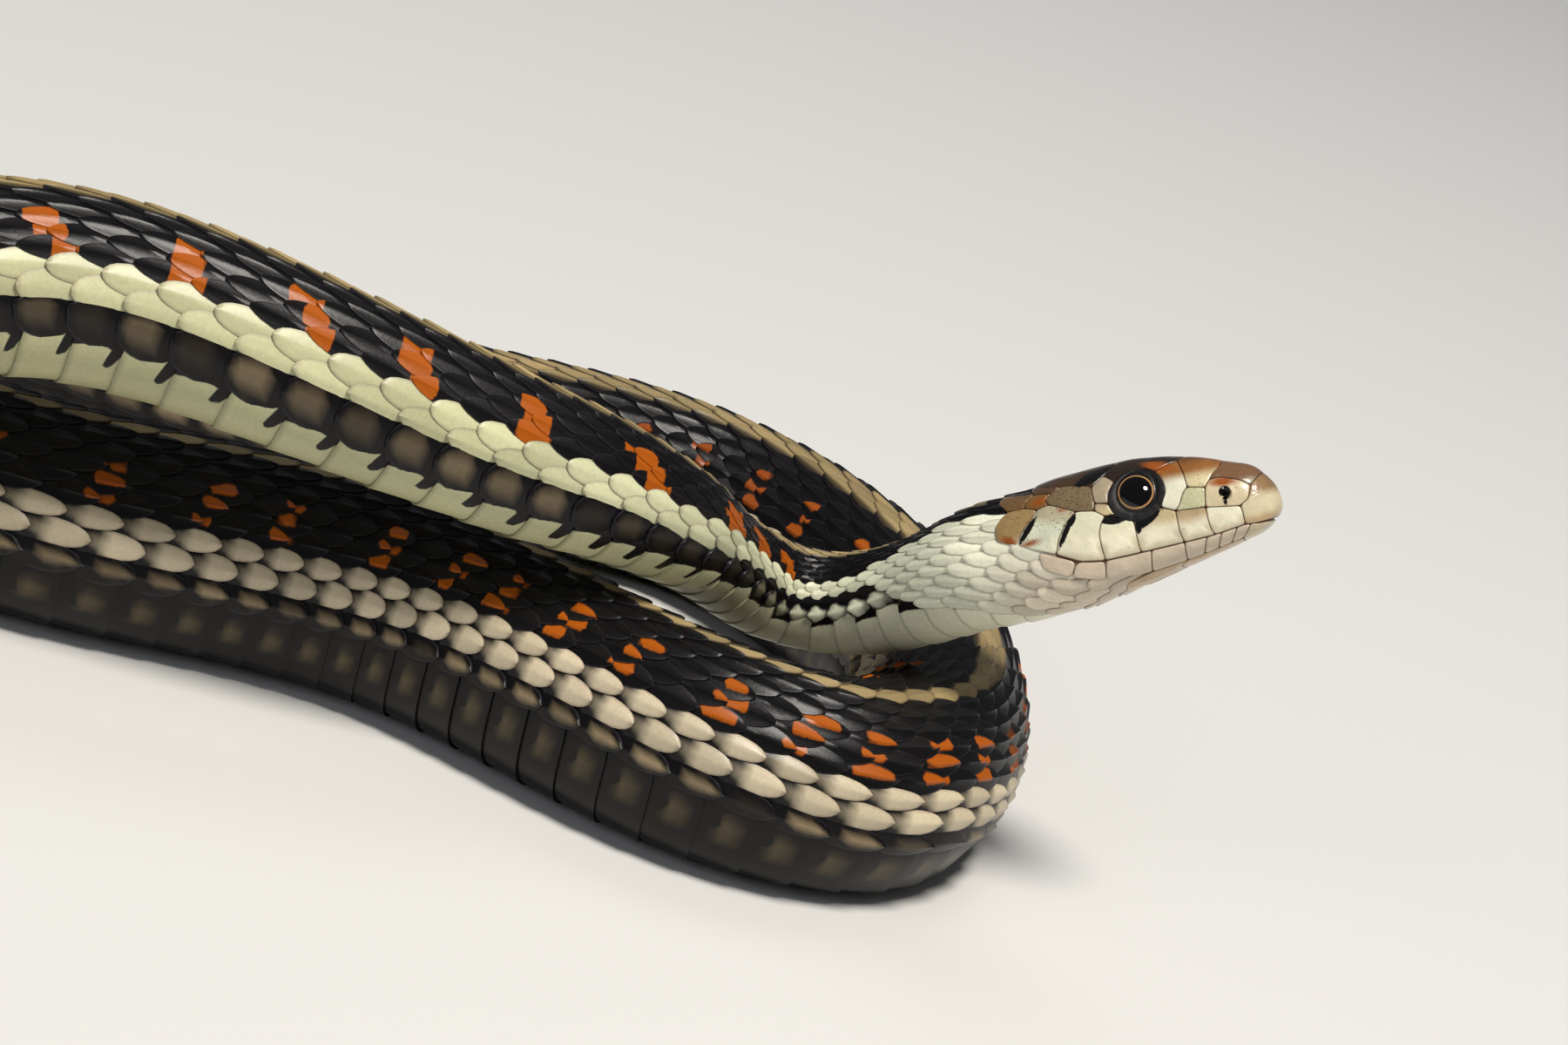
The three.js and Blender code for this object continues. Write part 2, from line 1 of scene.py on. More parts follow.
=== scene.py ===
"""Looks of a life-size garter snake lying in a loose coil with its head raised.

Every length is in millimetres in the frame of the solids, until a mesh is made in metres.
The animal is one skin with separate scales laid over it: keeled scales on the back and sides,
wide scutes along the belly, plates on the head, and a pair of eyes.
"""

import logging
from dataclasses import dataclass, field
from enum import Enum
from typing import Callable

import bpy
import numpy as np
from mathutils import Matrix, Vector

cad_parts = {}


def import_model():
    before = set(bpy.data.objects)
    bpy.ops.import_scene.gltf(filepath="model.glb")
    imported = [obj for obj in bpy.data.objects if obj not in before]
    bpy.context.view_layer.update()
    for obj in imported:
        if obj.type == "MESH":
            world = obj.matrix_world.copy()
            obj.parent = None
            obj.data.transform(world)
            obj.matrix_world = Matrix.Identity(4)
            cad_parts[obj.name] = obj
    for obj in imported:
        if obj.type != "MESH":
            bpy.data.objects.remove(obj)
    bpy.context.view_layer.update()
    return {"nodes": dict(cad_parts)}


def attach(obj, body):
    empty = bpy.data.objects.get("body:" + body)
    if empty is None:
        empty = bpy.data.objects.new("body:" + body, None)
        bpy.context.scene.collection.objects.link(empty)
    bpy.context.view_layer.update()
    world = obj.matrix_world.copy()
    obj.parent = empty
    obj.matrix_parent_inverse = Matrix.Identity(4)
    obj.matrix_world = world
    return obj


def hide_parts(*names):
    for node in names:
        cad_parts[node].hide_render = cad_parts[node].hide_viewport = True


Array = np.ndarray
Material = bpy.types.Material
Piece = bpy.types.Object
LOG = logging.getLogger("garter_snake")
METRES = 0.001

# Line of the body from the nape to the tip of the tail: x and y of its middle, height of the
# belly over the floor, and the lean of the back towards the body's left in degrees.
LINE = (
    (6.0, 9.4, 22.25, 13), (0.4, 12.0, 17.2, 2), (-5.8, 14.5, 13.2, -6), (-11.8, 13.8, 12.8, -8),
    (-16.8, 9.0, 15.6, -2), (-21.2, 3.8, 18.2, 4), (-27.0, -0.2, 19.6, 8), (-33.8, -3.0, 20.2, 9),
    (-41.4, -5.1, 20.9, 10), (-56.0, -8.2, 22.4, 10), (-70.4, -11.0, 22.8, 8),
    (-85.4, -18.5, 20.4, 4), (-105.4, -30.0, 12.5, 0), (-125.4, -31.0, 4.5, 0),
    (-138.4, -18.0, 0.5, 0), (-137.4, 0.0, 0, 0), (-123.4, 10.0, 0, 0), (-105.4, 6.5, 0, 0),
    (-87.4, -3.0, 0, 0), (-71.4, -4.5, 0, 2), (-55.4, 0.5, 0, 3), (-39.4, 3.0, 0, 3),
    (-23.4, -1.0, 0, 4), (-10.4, -3.6, 0, 10), (0.0, 0.0, 0, 20), (5.0, 9.0, 0, 22),
    (5.8, 20.0, 0, 14), (3.0, 32.5, 0, 4), (-5.8, 44.5, 0, 0), (-20.4, 51.6, 0, 0),
    (-39.4, 47.0, 0, 0), (-59.4, 39.0, 0, 0), (-83.4, 36.0, 0, 0), (-111.4, 39.0, 0, 0),
    (-137.4, 39.0, 0, 0), (-161.4, 26.0, 0, 0), (-174.4, 2.0, 0, 0), (-171.4, -26.0, 0, 0),
    (-153.4, -48.0, 0, 0), (-129.4, -58.0, 0, 0), (-99.4, -60.0, 0, 0),
)
# Girth: distance behind the nape, half width, height over the middle, depth under it.
GIRTH = (
    (0, 5.7, 5.2, 5.5), (7, 4.6, 4.6, 4.9), (18, 4.1, 4.3, 4.4), (28, 4.3, 4.3, 4.4),
    (38, 5.2, 5.1, 5.1), (50, 6.5, 6.3, 6.1), (66, 7.4, 7.2, 6.9), (90, 7.9, 7.8, 7.4),
    (150, 8.4, 8.3, 7.9), (240, 9.1, 9.1, 8.4), (325, 9.2, 9.2, 8.4), (355, 8.6, 8.6, 8.1),
    (400, 9.0, 9.0, 8.3), (480, 8.7, 8.5, 8.0), (530, 7.6, 7.4, 7.0), (555, 6.3, 6.1, 5.8),
)
# Head: distance before the nape, half width, top, widest level, underside, squareness of the top.
HEAD_FORM = (
    (0, 5.7, 5.2, 0.0, -5.5, 2.0), (3, 6.1, 5.4, -0.1, -5.5, 2.1), (6, 6.2, 5.8, -0.3, -5.3, 2.2),
    (9, 5.8, 6.0, -0.4, -4.8, 2.3), (12, 5.1, 6.1, -0.5, -4.2, 2.4), (15, 4.4, 5.8, -0.5, -3.5, 2.5),
    (18, 3.8, 5.2, -0.4, -2.8, 2.5), (21.5, 3.0, 4.0, -0.2, -2.0, 2.4), (24.2, 2.4, 3.4, 0.2, -1.3, 2.3),
)
# Mouth line: distance before the nape, and angle from the crown.
MOUTH_LINE = (
    (1.5, 72), (3.3, 79.5), (4.6, 85), (6.4, 90), (8.3, 96.5), (10.2, 100), (13.1, 101),
    (16.6, 104), (19.1, 108), (21.6, 108), (22.2, 115), (23.0, 128), (23.5, 150), (23.7, 180),
)
# Lengths along the body: distance behind the nape, distance from one scale to the next in a row.
SCALE_PITCH = (
    (-14, 3.0), (-6, 2.8), (0, 2.5), (15, 2.5), (30, 2.7), (45, 3.1), (55, 3.8), (65, 4.2), (80, 4.7),
    (95, 4.9), (130, 4.6), (220, 4.3), (290, 3.9), (320, 3.3), (345, 3.2), (375, 3.8), (450, 3.9),
    (540, 3.4), (560, 2.6), (640, 1.9), (696, 1.3),
)
# Where the belly scutes begin: distance behind the nape, angle from the middle of the back.
BELLY_EDGE = (
    (-14, 179), (-8, 178), (-4, 155), (0, 132), (4, 116), (10, 98), (16, 92), (26, 93), (38, 102), (46, 110),
    (60, 114), (80, 108), (92, 104), (120, 98), (240, 97), (720, 97),
)
# How far the middle of the back is turned round the body, towards the left, beyond its lean.
BACK_TURN = (
    (-14, 0), (0, 0), (15, 2), (38, 0), (46, 4), (90, 6), (130, 0), (285, -6), (318, -15), (342, -17),
    (350, -8), (362, 6), (385, 0), (720, 0),
)
# Where the body's scales end at the head's plates: angle from the crown, distance before the nape.
BODY_SCALES_END = (
    (0, 4.5), (15, 4.3), (16, 1.7), (28, 1.5), (44, 2.4), (50, 1.9), (58, 1.4), (72, 1.4), (79.5, 3.6),
    (86, 5.4), (95, 5.2), (108, 7.0), (124, 9.8), (143, 11.1), (160, 10.7), (174, 12.4), (180, 12.8),
)
# Places of the orange marks, by distance behind the nape, where the photograph shows them.
MARKS_SEEN = (45, 55, 65, 74, 84, 95, 303, 308, 314, 320, 327, 332.5, 337, 341.5, 346.5, 352)


class Side(Enum):
    """Sides of the head, with the sign that turns points of the right side to each."""

    RIGHT = 1
    LEFT = -1


def linear(code: str) -> tuple[float, float, float]:
    """Turns an sRGB hex code into linear light.

    Args:
        code: Six hex digits after a hash sign.

    Returns:
        Red, green and blue in linear light.
    """
    parts = [int(code[i:i + 2], 16) / 255 for i in (1, 3, 5)]
    return tuple(c / 12.92 if c <= 0.04045 else ((c + 0.055) / 1.055) ** 2.4 for c in parts)


def tone(code: str) -> Array:
    """Gives a hex colour as an array in linear light."""
    return np.array(linear(code))


def spline(stops: Array, values: Array, start_slope: float | None = None) -> Callable[[Array], Array]:
    """Makes a smooth curve through values, by a cubic spline.

    Args:
        stops: Rising places of the values.
        values: The value at each place.
        start_slope: Slope at the first place, or None for no bend there.

    Returns:
        A function of place.
    """
    count = len(stops)
    width = np.diff(stops)
    slopes = np.diff(values) / width
    matrix = np.zeros((count, count))
    right = np.zeros(count)
    matrix[-1, -1] = 1
    if start_slope is None:
        matrix[0, 0] = 1
    else:
        matrix[0, :2] = (2 * width[0], width[0])
        right[0] = 6 * (slopes[0] - start_slope)
    for i in range(1, count - 1):
        matrix[i, i - 1:i + 2] = (width[i - 1], 2 * (width[i - 1] + width[i]), width[i])
        right[i] = 6 * (slopes[i] - slopes[i - 1])
    bend = np.linalg.solve(matrix, right)

    def curve(at: Array) -> Array:
        """Gives the value at each place."""
        i = np.clip(np.searchsorted(stops, at, side="right") - 1, 0, count - 2)
        h = width[i]
        a = stops[i + 1] - at
        b = at - stops[i]
        cubic = (bend[i] * a ** 3 + bend[i + 1] * b ** 3) / (6 * h)
        return cubic + (values[i] / h - bend[i] * h / 6) * a + (values[i + 1] / h - bend[i + 1] * h / 6) * b

    return curve


def ease(stops: Array, values: Array) -> Callable[[Array], Array]:
    """Makes a curve through values that never swings past them.

    Args:
        stops: Rising places of the values.
        values: The value at each place.

    Returns:
        A function of place, level beyond both ends.
    """
    stops = np.asarray(stops, float)
    values = np.asarray(values, float)
    slope = np.diff(values) / np.diff(stops)
    product = slope[:-1] * slope[1:]
    total = np.where(product > 0, slope[:-1] + slope[1:], 1)
    inner = np.where(product > 0, 2 * product / total, 0)
    lean = np.concatenate([slope[:1], inner, slope[-1:]])

    def curve(at: Array) -> Array:
        """Gives the value at each place."""
        at = np.clip(at, stops[0], stops[-1])
        i = np.clip(np.searchsorted(stops, at, side="right") - 1, 0, len(stops) - 2)
        h = stops[i + 1] - stops[i]
        t = (at - stops[i]) / h
        first = (1 + 2 * t) * (1 - t) ** 2 * values[i] + t * (1 - t) ** 2 * h * lean[i]
        return first + t * t * (3 - 2 * t) * values[i + 1] + t * t * (t - 1) * h * lean[i + 1]

    return curve


def rows_of(table: tuple) -> tuple[Array, ...]:
    """Splits a table of rows into its columns."""
    return tuple(np.array(table, float).T)


def smooth(low: float, high: float, value: Array) -> Array:
    """Rises smoothly from 0 at low to 1 at high."""
    t = np.clip((value - low) / (high - low), 0, 1)
    return t * t * (3 - 2 * t)


def unit(vectors: Array) -> Array:
    """Gives vectors the length one."""
    return vectors / np.maximum(np.linalg.norm(vectors, axis=-1, keepdims=True), 1e-9)


def flattened(value: Array, power: Array) -> Array:
    """Raises a sine or cosine to a power and keeps its sign."""
    return np.sign(value) * np.abs(value) ** power


@dataclass
class BodyForm:
    """Outer form of neck, body and tail, by distance behind the nape and angle from the back.

    An angle is in degrees, 0 on the back, rising towards the body's left, 180 under the belly.
    """

    vent: float = 555.0
    tail_tip_radius: float = 0.5
    tail_taper: float = 0.92
    back_roundness: float = 1.9
    belly_roundness: float = 2.7
    settle: float = 0.35
    level_from: float = 95.0
    level_to: float = 150.0
    clear_of_floor: float = 5.0
    head_aim: tuple[float, float, float] = (0.84, -0.11, 0.531)
    steps: int = 4000
    way_step: float = 0.4

    def __post_init__(self) -> None:
        """Lays out the line of the body as samples along its length."""
        stops, *sizes = rows_of(GIRTH)
        self.forms = [ease(stops, size) for size in sizes]
        x, y, lift, lean = rows_of(LINE)
        plan = np.concatenate([[0], np.cumsum(np.hypot(np.diff(x), np.diff(y)))])
        flat = float(np.hypot(self.head_aim[0], self.head_aim[1]))
        raised = int(np.argmax(lift <= 0)) + 1
        thinning = (GIRTH[1][3] - GIRTH[0][3]) / (GIRTH[1][0] - GIRTH[0][0])
        climb = -(self.head_aim[2] + thinning) / flat
        at = np.linspace(0, plan[-1], self.steps + 1)
        place = [spline(plan, line, -aim / flat)(at) for line, aim in zip((x, y), self.head_aim)]
        rise = spline(plan[:raised], lift[:raised], climb)(np.minimum(at, plan[raised - 1]))
        height = np.where(at < plan[raised - 1], np.maximum(rise, 0), 0)
        self.tilts = np.radians(ease(plan, lean)(at))
        self.restings = 1 - smooth(0, self.clear_of_floor, height)
        self.length = float(plan[-1])
        self.stops = at
        for _ in range(4):
            lowest = np.zeros_like(at)
            for degrees in range(90, 271, 5):
                turned = self.section(self.stops, np.full_like(at, degrees), self.tilts, self.restings)
                lowest = np.maximum(lowest, -turned[1])
            self.points = np.stack([*place, height + lowest - self.settle], axis=1)
            gaps = np.linalg.norm(np.diff(self.points, axis=0), axis=1)
            self.stops = np.concatenate([[0], np.cumsum(gaps)])
            self.length = float(self.stops[-1])

    def girth(self, s: Array) -> list[Array]:
        """Gives half width, height over and depth under the middle.

        Args:
            s: Distances behind the nape.

        Returns:
            The three sizes at each distance.
        """
        left = np.clip((self.length - s) / (self.length - self.vent), 0, 1) ** self.tail_taper
        found = []
        for form in self.forms:
            tail = self.tail_tip_radius + (form(np.array(self.vent)) - self.tail_tip_radius) * left
            found.append(np.where(s <= self.vent, form(s), tail))
        return found

    def section(self, s: Array, degrees: Array, tilt: Array, resting: Array) -> tuple[Array, Array]:
        """Gives a point of the body's section, turned by the lean of the back.

        Args:
            s: Distances behind the nape.
            degrees: Angles from the back.
            tilt: Lean of the back in radians.
            resting: One where the belly lies on the floor, zero where it's raised.

        Returns:
            How far each point is to the left and up.
        """
        half_width, over, under = self.girth(s)
        sine = np.sin(np.radians(degrees))
        cosine = np.cos(np.radians(degrees))
        near_head = smooth(10, 0, s)
        back = self.back_roundness + 0.1 * near_head
        belly = self.belly_roundness
        power = 2 / np.where(cosine >= 0, back, belly)
        across = half_width * flattened(sine, power)
        up = np.where(cosine >= 0, over, under) * flattened(cosine, power)
        from_back = np.abs((degrees + 180) % 360 - 180)
        turn = tilt * (1 - resting * smooth(self.level_from, self.level_to, from_back))
        return across * np.cos(turn) + up * np.sin(turn), up * np.cos(turn) - across * np.sin(turn)

    def sample(self, s: Array) -> Array:
        """Gives the middle of the body at each distance behind the nape."""
        return np.stack([np.interp(s, self.stops, self.points[:, k]) for k in range(3)], axis=-1)

    def frame(self, s: Array) -> tuple[Array, Array, Array, Array]:
        """Gives the middle of the body and its directions forward, left and up.

        Args:
            s: Distances behind the nape.

        Returns:
            The middles and the three directions.
        """
        forward = unit(self.sample(np.maximum(s - self.way_step, 0)) - self.sample(s + self.way_step))
        left = unit(np.cross(np.array([0.0, 0.0, 1.0]), forward))
        return self.sample(s), forward, left, np.cross(forward, left)

    def point(self, s: Array, degrees: Array) -> Array:
        """Gives points of the outer surface.

        Args:
            s: Distances behind the nape.
            degrees: Angles from the back.

        Returns:
            The points.
        """
        middle, _, left, up = self.frame(s)
        tilt = np.interp(s, self.stops, self.tilts)
        resting = np.interp(s, self.stops, self.restings)
        across, rise = self.section(s, degrees, tilt, resting)
        return middle + left * across[..., None] + up * rise[..., None]


@dataclass
class HeadForm:
    """Outer form of the head in its own frame: x forward from the nape, y left, z up."""

    length: float = 24.2
    snout_round: float = 2.7
    jaw_roundness: float = 2.7
    eye_centre: tuple[float, float, float] = (13.5, -2.95, 3.16)
    eye_rim: tuple[float, float] = (2.33, 2.10)

    def __post_init__(self) -> None:
        """Reads the table of sections."""
        stops, *sizes = rows_of(HEAD_FORM)
        self.forms = [ease(stops, size) for size in sizes]
        self.round_start = self.length - self.snout_round

    def point(self, x: Array, degrees: Array) -> Array:
        """Gives points of the surface.

        Args:
            x: Distances before the nape.
            degrees: Angles from the crown, rising towards the left.

        Returns:
            The points in the head's frame.
        """
        half_width, top, wide, bottom, square = (form(x) for form in self.forms)
        close = np.sqrt(np.maximum(1 - (np.maximum(x - self.round_start, 0) / self.snout_round) ** 2, 0))
        sine = np.sin(np.radians(degrees))
        cosine = np.cos(np.radians(degrees))
        power = 2 / np.where(cosine >= 0, square, self.jaw_roundness)
        y = half_width * close * flattened(sine, power)
        z = wide + np.where(cosine >= 0, top - wide, wide - bottom) * close * flattened(cosine, power)
        return np.stack([x, y, z], axis=-1)

    def reach(self, points: Array) -> Array:
        """Tells how far out points lie: one on the surface, less inside it.

        Args:
            points: Points in the head's frame.

        Returns:
            Their share of the way out.
        """
        x = np.clip(points[..., 0], 0, self.length)
        half_width, top, wide, bottom, square = (form(x) for form in self.forms)
        rise = points[..., 2] - wide
        power = np.where(rise >= 0, square, self.jaw_roundness)
        over = np.where(rise >= 0, top - wide, wide - bottom)
        around = (np.abs(points[..., 1] / half_width) ** power + np.abs(rise / over) ** power) ** (2 / power)
        ahead = np.maximum(points[..., 0] - self.round_start, 0) / self.snout_round
        return np.sqrt(around + ahead ** 2)

    def project(self, points: Array) -> Array:
        """Moves points out or in until they lie on the surface.

        Args:
            points: Points in the head's frame.

        Returns:
            The points on the surface.
        """
        for _ in range(4):
            x = np.clip(points[..., 0], 0, self.length)
            core = np.zeros_like(points)
            core[..., 0] = np.minimum(points[..., 0], self.round_start)
            core[..., 2] = self.forms[2](x)
            points = core + (points - core) / np.maximum(self.reach(points), 1e-3)[..., None]
        return points

    def normal(self, points: Array) -> Array:
        """Gives the outward directions of the surface at points.

        Args:
            points: Points in the head's frame.

        Returns:
            The directions.
        """
        step = 0.02
        slope = np.zeros_like(points)
        for axis in range(3):
            move = np.zeros(3)
            move[axis] = step
            slope[..., axis] = self.reach(points + move) - self.reach(points - move)
        return unit(slope)


@dataclass
class SnakeForm:
    """The whole outer form: the head's and the body's, joined at the nape."""

    body: BodyForm = field(default_factory=BodyForm)
    head: HeadForm = field(default_factory=HeadForm)

    def __post_init__(self) -> None:
        """Places the head on the nape and measures how far it is round a section."""
        middle, forward, left, up = self.body.frame(np.array(0.0))
        tilt = float(self.body.tilts[0])
        self.axes = np.stack([
            forward, left * np.cos(tilt) - up * np.sin(tilt), up * np.cos(tilt) + left * np.sin(tilt),
        ])
        self.nape = middle
        degrees = np.linspace(0, 180, 361)
        flat = self.body.section(np.full(361, 250.0), degrees, np.zeros(361), np.zeros(361))
        gaps = np.hypot(np.diff(flat[0]), np.diff(flat[1]))
        self.turns = degrees
        self.arcs = np.concatenate([[0], np.cumsum(gaps)]) / gaps.sum()
        self.pitch = ease(*rows_of(SCALE_PITCH))
        self.belly_edge = ease(*rows_of(BELLY_EDGE))
        self.back_turn = ease(*rows_of(BACK_TURN))
        self.ruler = np.linspace(SCALE_PITCH[0][0], self.body.length, 3000)
        steps = np.diff(self.ruler) / self.pitch((self.ruler[1:] + self.ruler[:-1]) / 2)
        self.counts = np.concatenate([[0], np.cumsum(steps)])

    def from_head(self, points: Array) -> Array:
        """Turns points of the head's frame into the animal's."""
        return self.nape + points @ self.axes

    def place(self, s: Array, degrees: Array) -> Array:
        """Gives points of the outer surface.

        Args:
            s: Distances behind the nape; before it they're below zero.
            degrees: Angles from the back.

        Returns:
            The points.
        """
        behind = self.body.point(np.maximum(s, 0), degrees)
        before = self.from_head(self.head.point(np.maximum(-s, 0), degrees))
        return np.where((s >= 0)[..., None], behind, before)

    def surface(self, s: Array, degrees: Array, rise: Array) -> Array:
        """Gives points over the outer surface.

        Args:
            s: Distances behind the nape.
            degrees: Angles from the back.
            rise: Heights over the surface, below zero inside it.

        Returns:
            The points, none of them under the floor.
        """
        along = self.place(s + 0.1, degrees) - self.place(s - 0.1, degrees)
        around = self.place(s, degrees + 1.5) - self.place(s, degrees - 1.5)
        out = unit(np.cross(around, along))
        points = self.place(s, degrees) + out * np.asarray(rise)[..., None]
        points[..., 2] = np.maximum(points[..., 2], 0.0)
        return points

    def closed(self, s: Array, degrees: Array, rise: Array, wall: Array, rim: Array) -> Array:
        """Gives the points of closed shells over the outer surface.

        Args:
            s: Distance behind the nape of each point of each shell's grid.
            degrees: Their angles from the back.
            rise: Their heights over the surface.
            wall: How high the wall is at each point of the rim.
            rim: Points of the grid that are on its rim.

        Returns:
            Points of the grid, of the wall's lower edge and of the middle of the floor.
        """
        top = self.surface(s, degrees, rise)
        low = self.surface(s[:, rim], degrees[:, rim], rise[:, rim] - wall)
        return np.concatenate([top, low, low.mean(axis=1, keepdims=True)], axis=1)

    def degrees_at(self, share: Array, s: Array) -> Array:
        """Turns a share of the way from the back to the belly's edge into an angle.

        Args:
            share: 0 on the back, 1 at the belly's edge, below zero on the right side.
            s: Distances behind the nape.

        Returns:
            Angles from the back.
        """
        edge = np.interp(self.belly_edge(s), self.turns, self.arcs)
        share = np.clip(share, -1.15, 1.15)
        return np.sign(share) * np.interp(np.abs(share) * edge, self.arcs, self.turns) + self.back_turn(s)

    def at_count(self, count: Array) -> Array:
        """Gives the distance behind the nape at a count of scales."""
        return np.interp(count, self.counts, self.ruler)

    def count_at(self, s: Array) -> Array:
        """Gives the count of scales at a distance behind the nape."""
        return np.interp(s, self.ruler, self.counts)


@dataclass
class Paint:
    """Colours of the points of a mesh: a ground, a patch over it, and numbers for the material.

    The first mark is how near an edge a point is, for a painted highlight line there, or how speckled a
    point is, or on an eye how far from the middle.
    The other two are fields in millimetres, above zero inside a black mark and inside the patch.
    """

    ground: Array
    patch: Array
    marks: Array

    def with_wall(self, rim: Array) -> "Paint":
        """Adds the points of each shell's wall and floor to those of its grid."""
        parts = []
        for values, share in ((self.ground, 0.5), (self.patch, 0.7), (self.marks, 1.0)):
            wall = values[:, rim] * share
            parts.append(np.concatenate([values, wall, wall[:, :1]], axis=1))
        return Paint(*parts)


@dataclass
class Pile:
    """A pile of closed shells that becomes one mesh."""

    points: list[Array] = field(default_factory=list)
    faces: list[Array] = field(default_factory=list)
    paints: list[Paint] = field(default_factory=list)
    spots: list[Array] = field(default_factory=list)
    count: int = 0
    shells: int = 0

    def add(self, points: Array, faces: Array, paint: Paint, spots: Array) -> None:
        """Adds shells that share one pattern of faces.

        Args:
            points: Points of each shell, as shells by points by 3.
            faces: Triangles of one shell.
            paint: Colours of the points.
            spots: Place of each corner of each face on its shell's own square, for baking.
        """
        shells, each = points.shape[:2]
        offsets = self.count + each * np.arange(shells)
        self.points.append(points.reshape(-1, 3))
        self.faces.append((faces[None] + offsets[:, None, None]).reshape(-1, 3))
        self.paints.append(paint)
        owner = np.repeat(self.shells + np.arange(shells), faces.size)
        self.spots.append(np.column_stack([owner, np.tile(spots.reshape(-1, 2), (shells, 1))]))
        self.count += shells * each
        self.shells += shells

    def to_object(self, name: str, material: Material, crease: float = 40.0) -> Piece:
        """Makes the mesh object, in metres.

        Args:
            name: Name of the piece.
            material: Its finish.
            crease: Angle in degrees over which an edge is sharp.

        Returns:
            The object, linked to the scene.
        """
        spots = np.concatenate(self.spots)
        across = int(np.ceil(np.sqrt(self.shells)))
        cell = np.column_stack([spots[:, 0] % across, spots[:, 0] // across])
        baked = (cell + 0.04 + 0.92 * spots[:, 1:]) / across
        paint = Paint(*(
            np.concatenate([getattr(paint, part).reshape(-1, 3) for paint in self.paints])
            for part in ("ground", "patch", "marks")
        ))
        return make_mesh(
            name, np.concatenate(self.points), np.concatenate(self.faces), paint, baked, material, crease,
        )


def make_mesh(
    name: str, points: Array, faces: Array, paint: Paint, baked: Array,
    material: Material, crease: float,
) -> Piece:
    """Makes a mesh object from arrays.

    Args:
        name: Name of the piece.
        points: Points in millimetres.
        faces: Triangles.
        paint: Colours of the points.
        baked: Place of each corner of each face on the baked picture.
        material: Its finish.
        crease: Angle in degrees over which an edge is sharp.

    Returns:
        The object, linked to the scene.
    """
    mesh = bpy.data.meshes.new(name)
    mesh.vertices.add(len(points))
    mesh.vertices.foreach_set("co", (points * METRES).astype(np.float32).ravel())
    mesh.loops.add(faces.size)
    mesh.loops.foreach_set("vertex_index", faces.astype(np.int32).ravel())
    mesh.polygons.add(len(faces))
    mesh.polygons.foreach_set("loop_start", np.arange(0, faces.size, 3, dtype=np.int32))
    mesh.update(calc_edges=True)
    for layer_name, colours in (("ground", paint.ground), ("patch", paint.patch)):
        layer = mesh.attributes.new(layer_name, "FLOAT_COLOR", "POINT")
        values = np.column_stack([np.clip(colours, 0, 1), np.ones(len(colours))])
        layer.data.foreach_set("color", values.astype(np.float32).ravel())
    marks = mesh.attributes.new("marks", "FLOAT_VECTOR", "POINT")
    marks.data.foreach_set("vector", paint.marks.astype(np.float32).ravel())
    layer = mesh.uv_layers.new(name="OFBake")
    layer.data.foreach_set("uv", np.clip(baked, 0, 1).astype(np.float32).ravel())
    mesh.materials.append(material)
    mesh.shade_smooth()
    mesh.set_sharp_from_angle(angle=np.radians(crease))
    mesh.validate()
    piece = bpy.data.objects.new(name, mesh)
    bpy.context.scene.collection.objects.link(piece)
    return piece


def rim_of(index: Array) -> Array:
    """Lists the points on the rim of a grid of point numbers, in the order of the wall."""
    return np.concatenate([index[0, :-1], index[:-1, -1], index[-1, :0:-1], index[:0:-1, 0]])


def halves(a: Array, b: Array, c: Array, d: Array) -> Array:
    """Cuts four-sided faces, given by the numbers of their corners, into triangles."""
    return np.concatenate([
        np.stack([a, b, c], axis=-1).reshape(-1, 3), np.stack([a, c, d], axis=-1).reshape(-1, 3),
    ])


def mirrored(faces: Array, spots: Array) -> tuple[Array, Array]:
    """Turns faces over, and the places of their corners with them."""
    return faces[:, ::-1], spots.reshape(-1, 3, 2)[:, ::-1].reshape(spots.shape)


def turned_out(points: Array, faces: Array, spots: Array) -> tuple[Array, Array]:
    """Turns the faces of a closed shell over if they point inwards.

    Args:
        points: The shell's points.
        faces: Its triangles.
        spots: Place of each corner of each face.

    Returns:
        The triangles and the places of their corners.
    """
    volume = np.sum(points[faces[:, 0]] * np.cross(points[faces[:, 1]], points[faces[:, 2]]))
    return mirrored(faces, spots) if volume < 0 else (faces, spots)


def rings_shell(count: int, rings: int) -> tuple[Array, Array]:
    """Lays out the triangles of rings round a middle point, closed by one more point.

    Args:
        count: Points of each ring.
        rings: How many rings there are.

    Returns:
        The triangles between the first point and the last ring, and those of the closing end.
    """
    here = np.arange(count)
    after = np.roll(here, -1)
    faces = [np.column_stack([np.zeros(count, int), 1 + here, 1 + after])]
    for start in range(1, 1 + (rings - 1) * count, count):
        a, b = start + here, start + after
        faces.append(halves(a, a + count, b + count, b))
    last = 1 + (rings - 1) * count
    return np.concatenate(faces), np.column_stack([np.full(count, last + count), last + after, last + here])


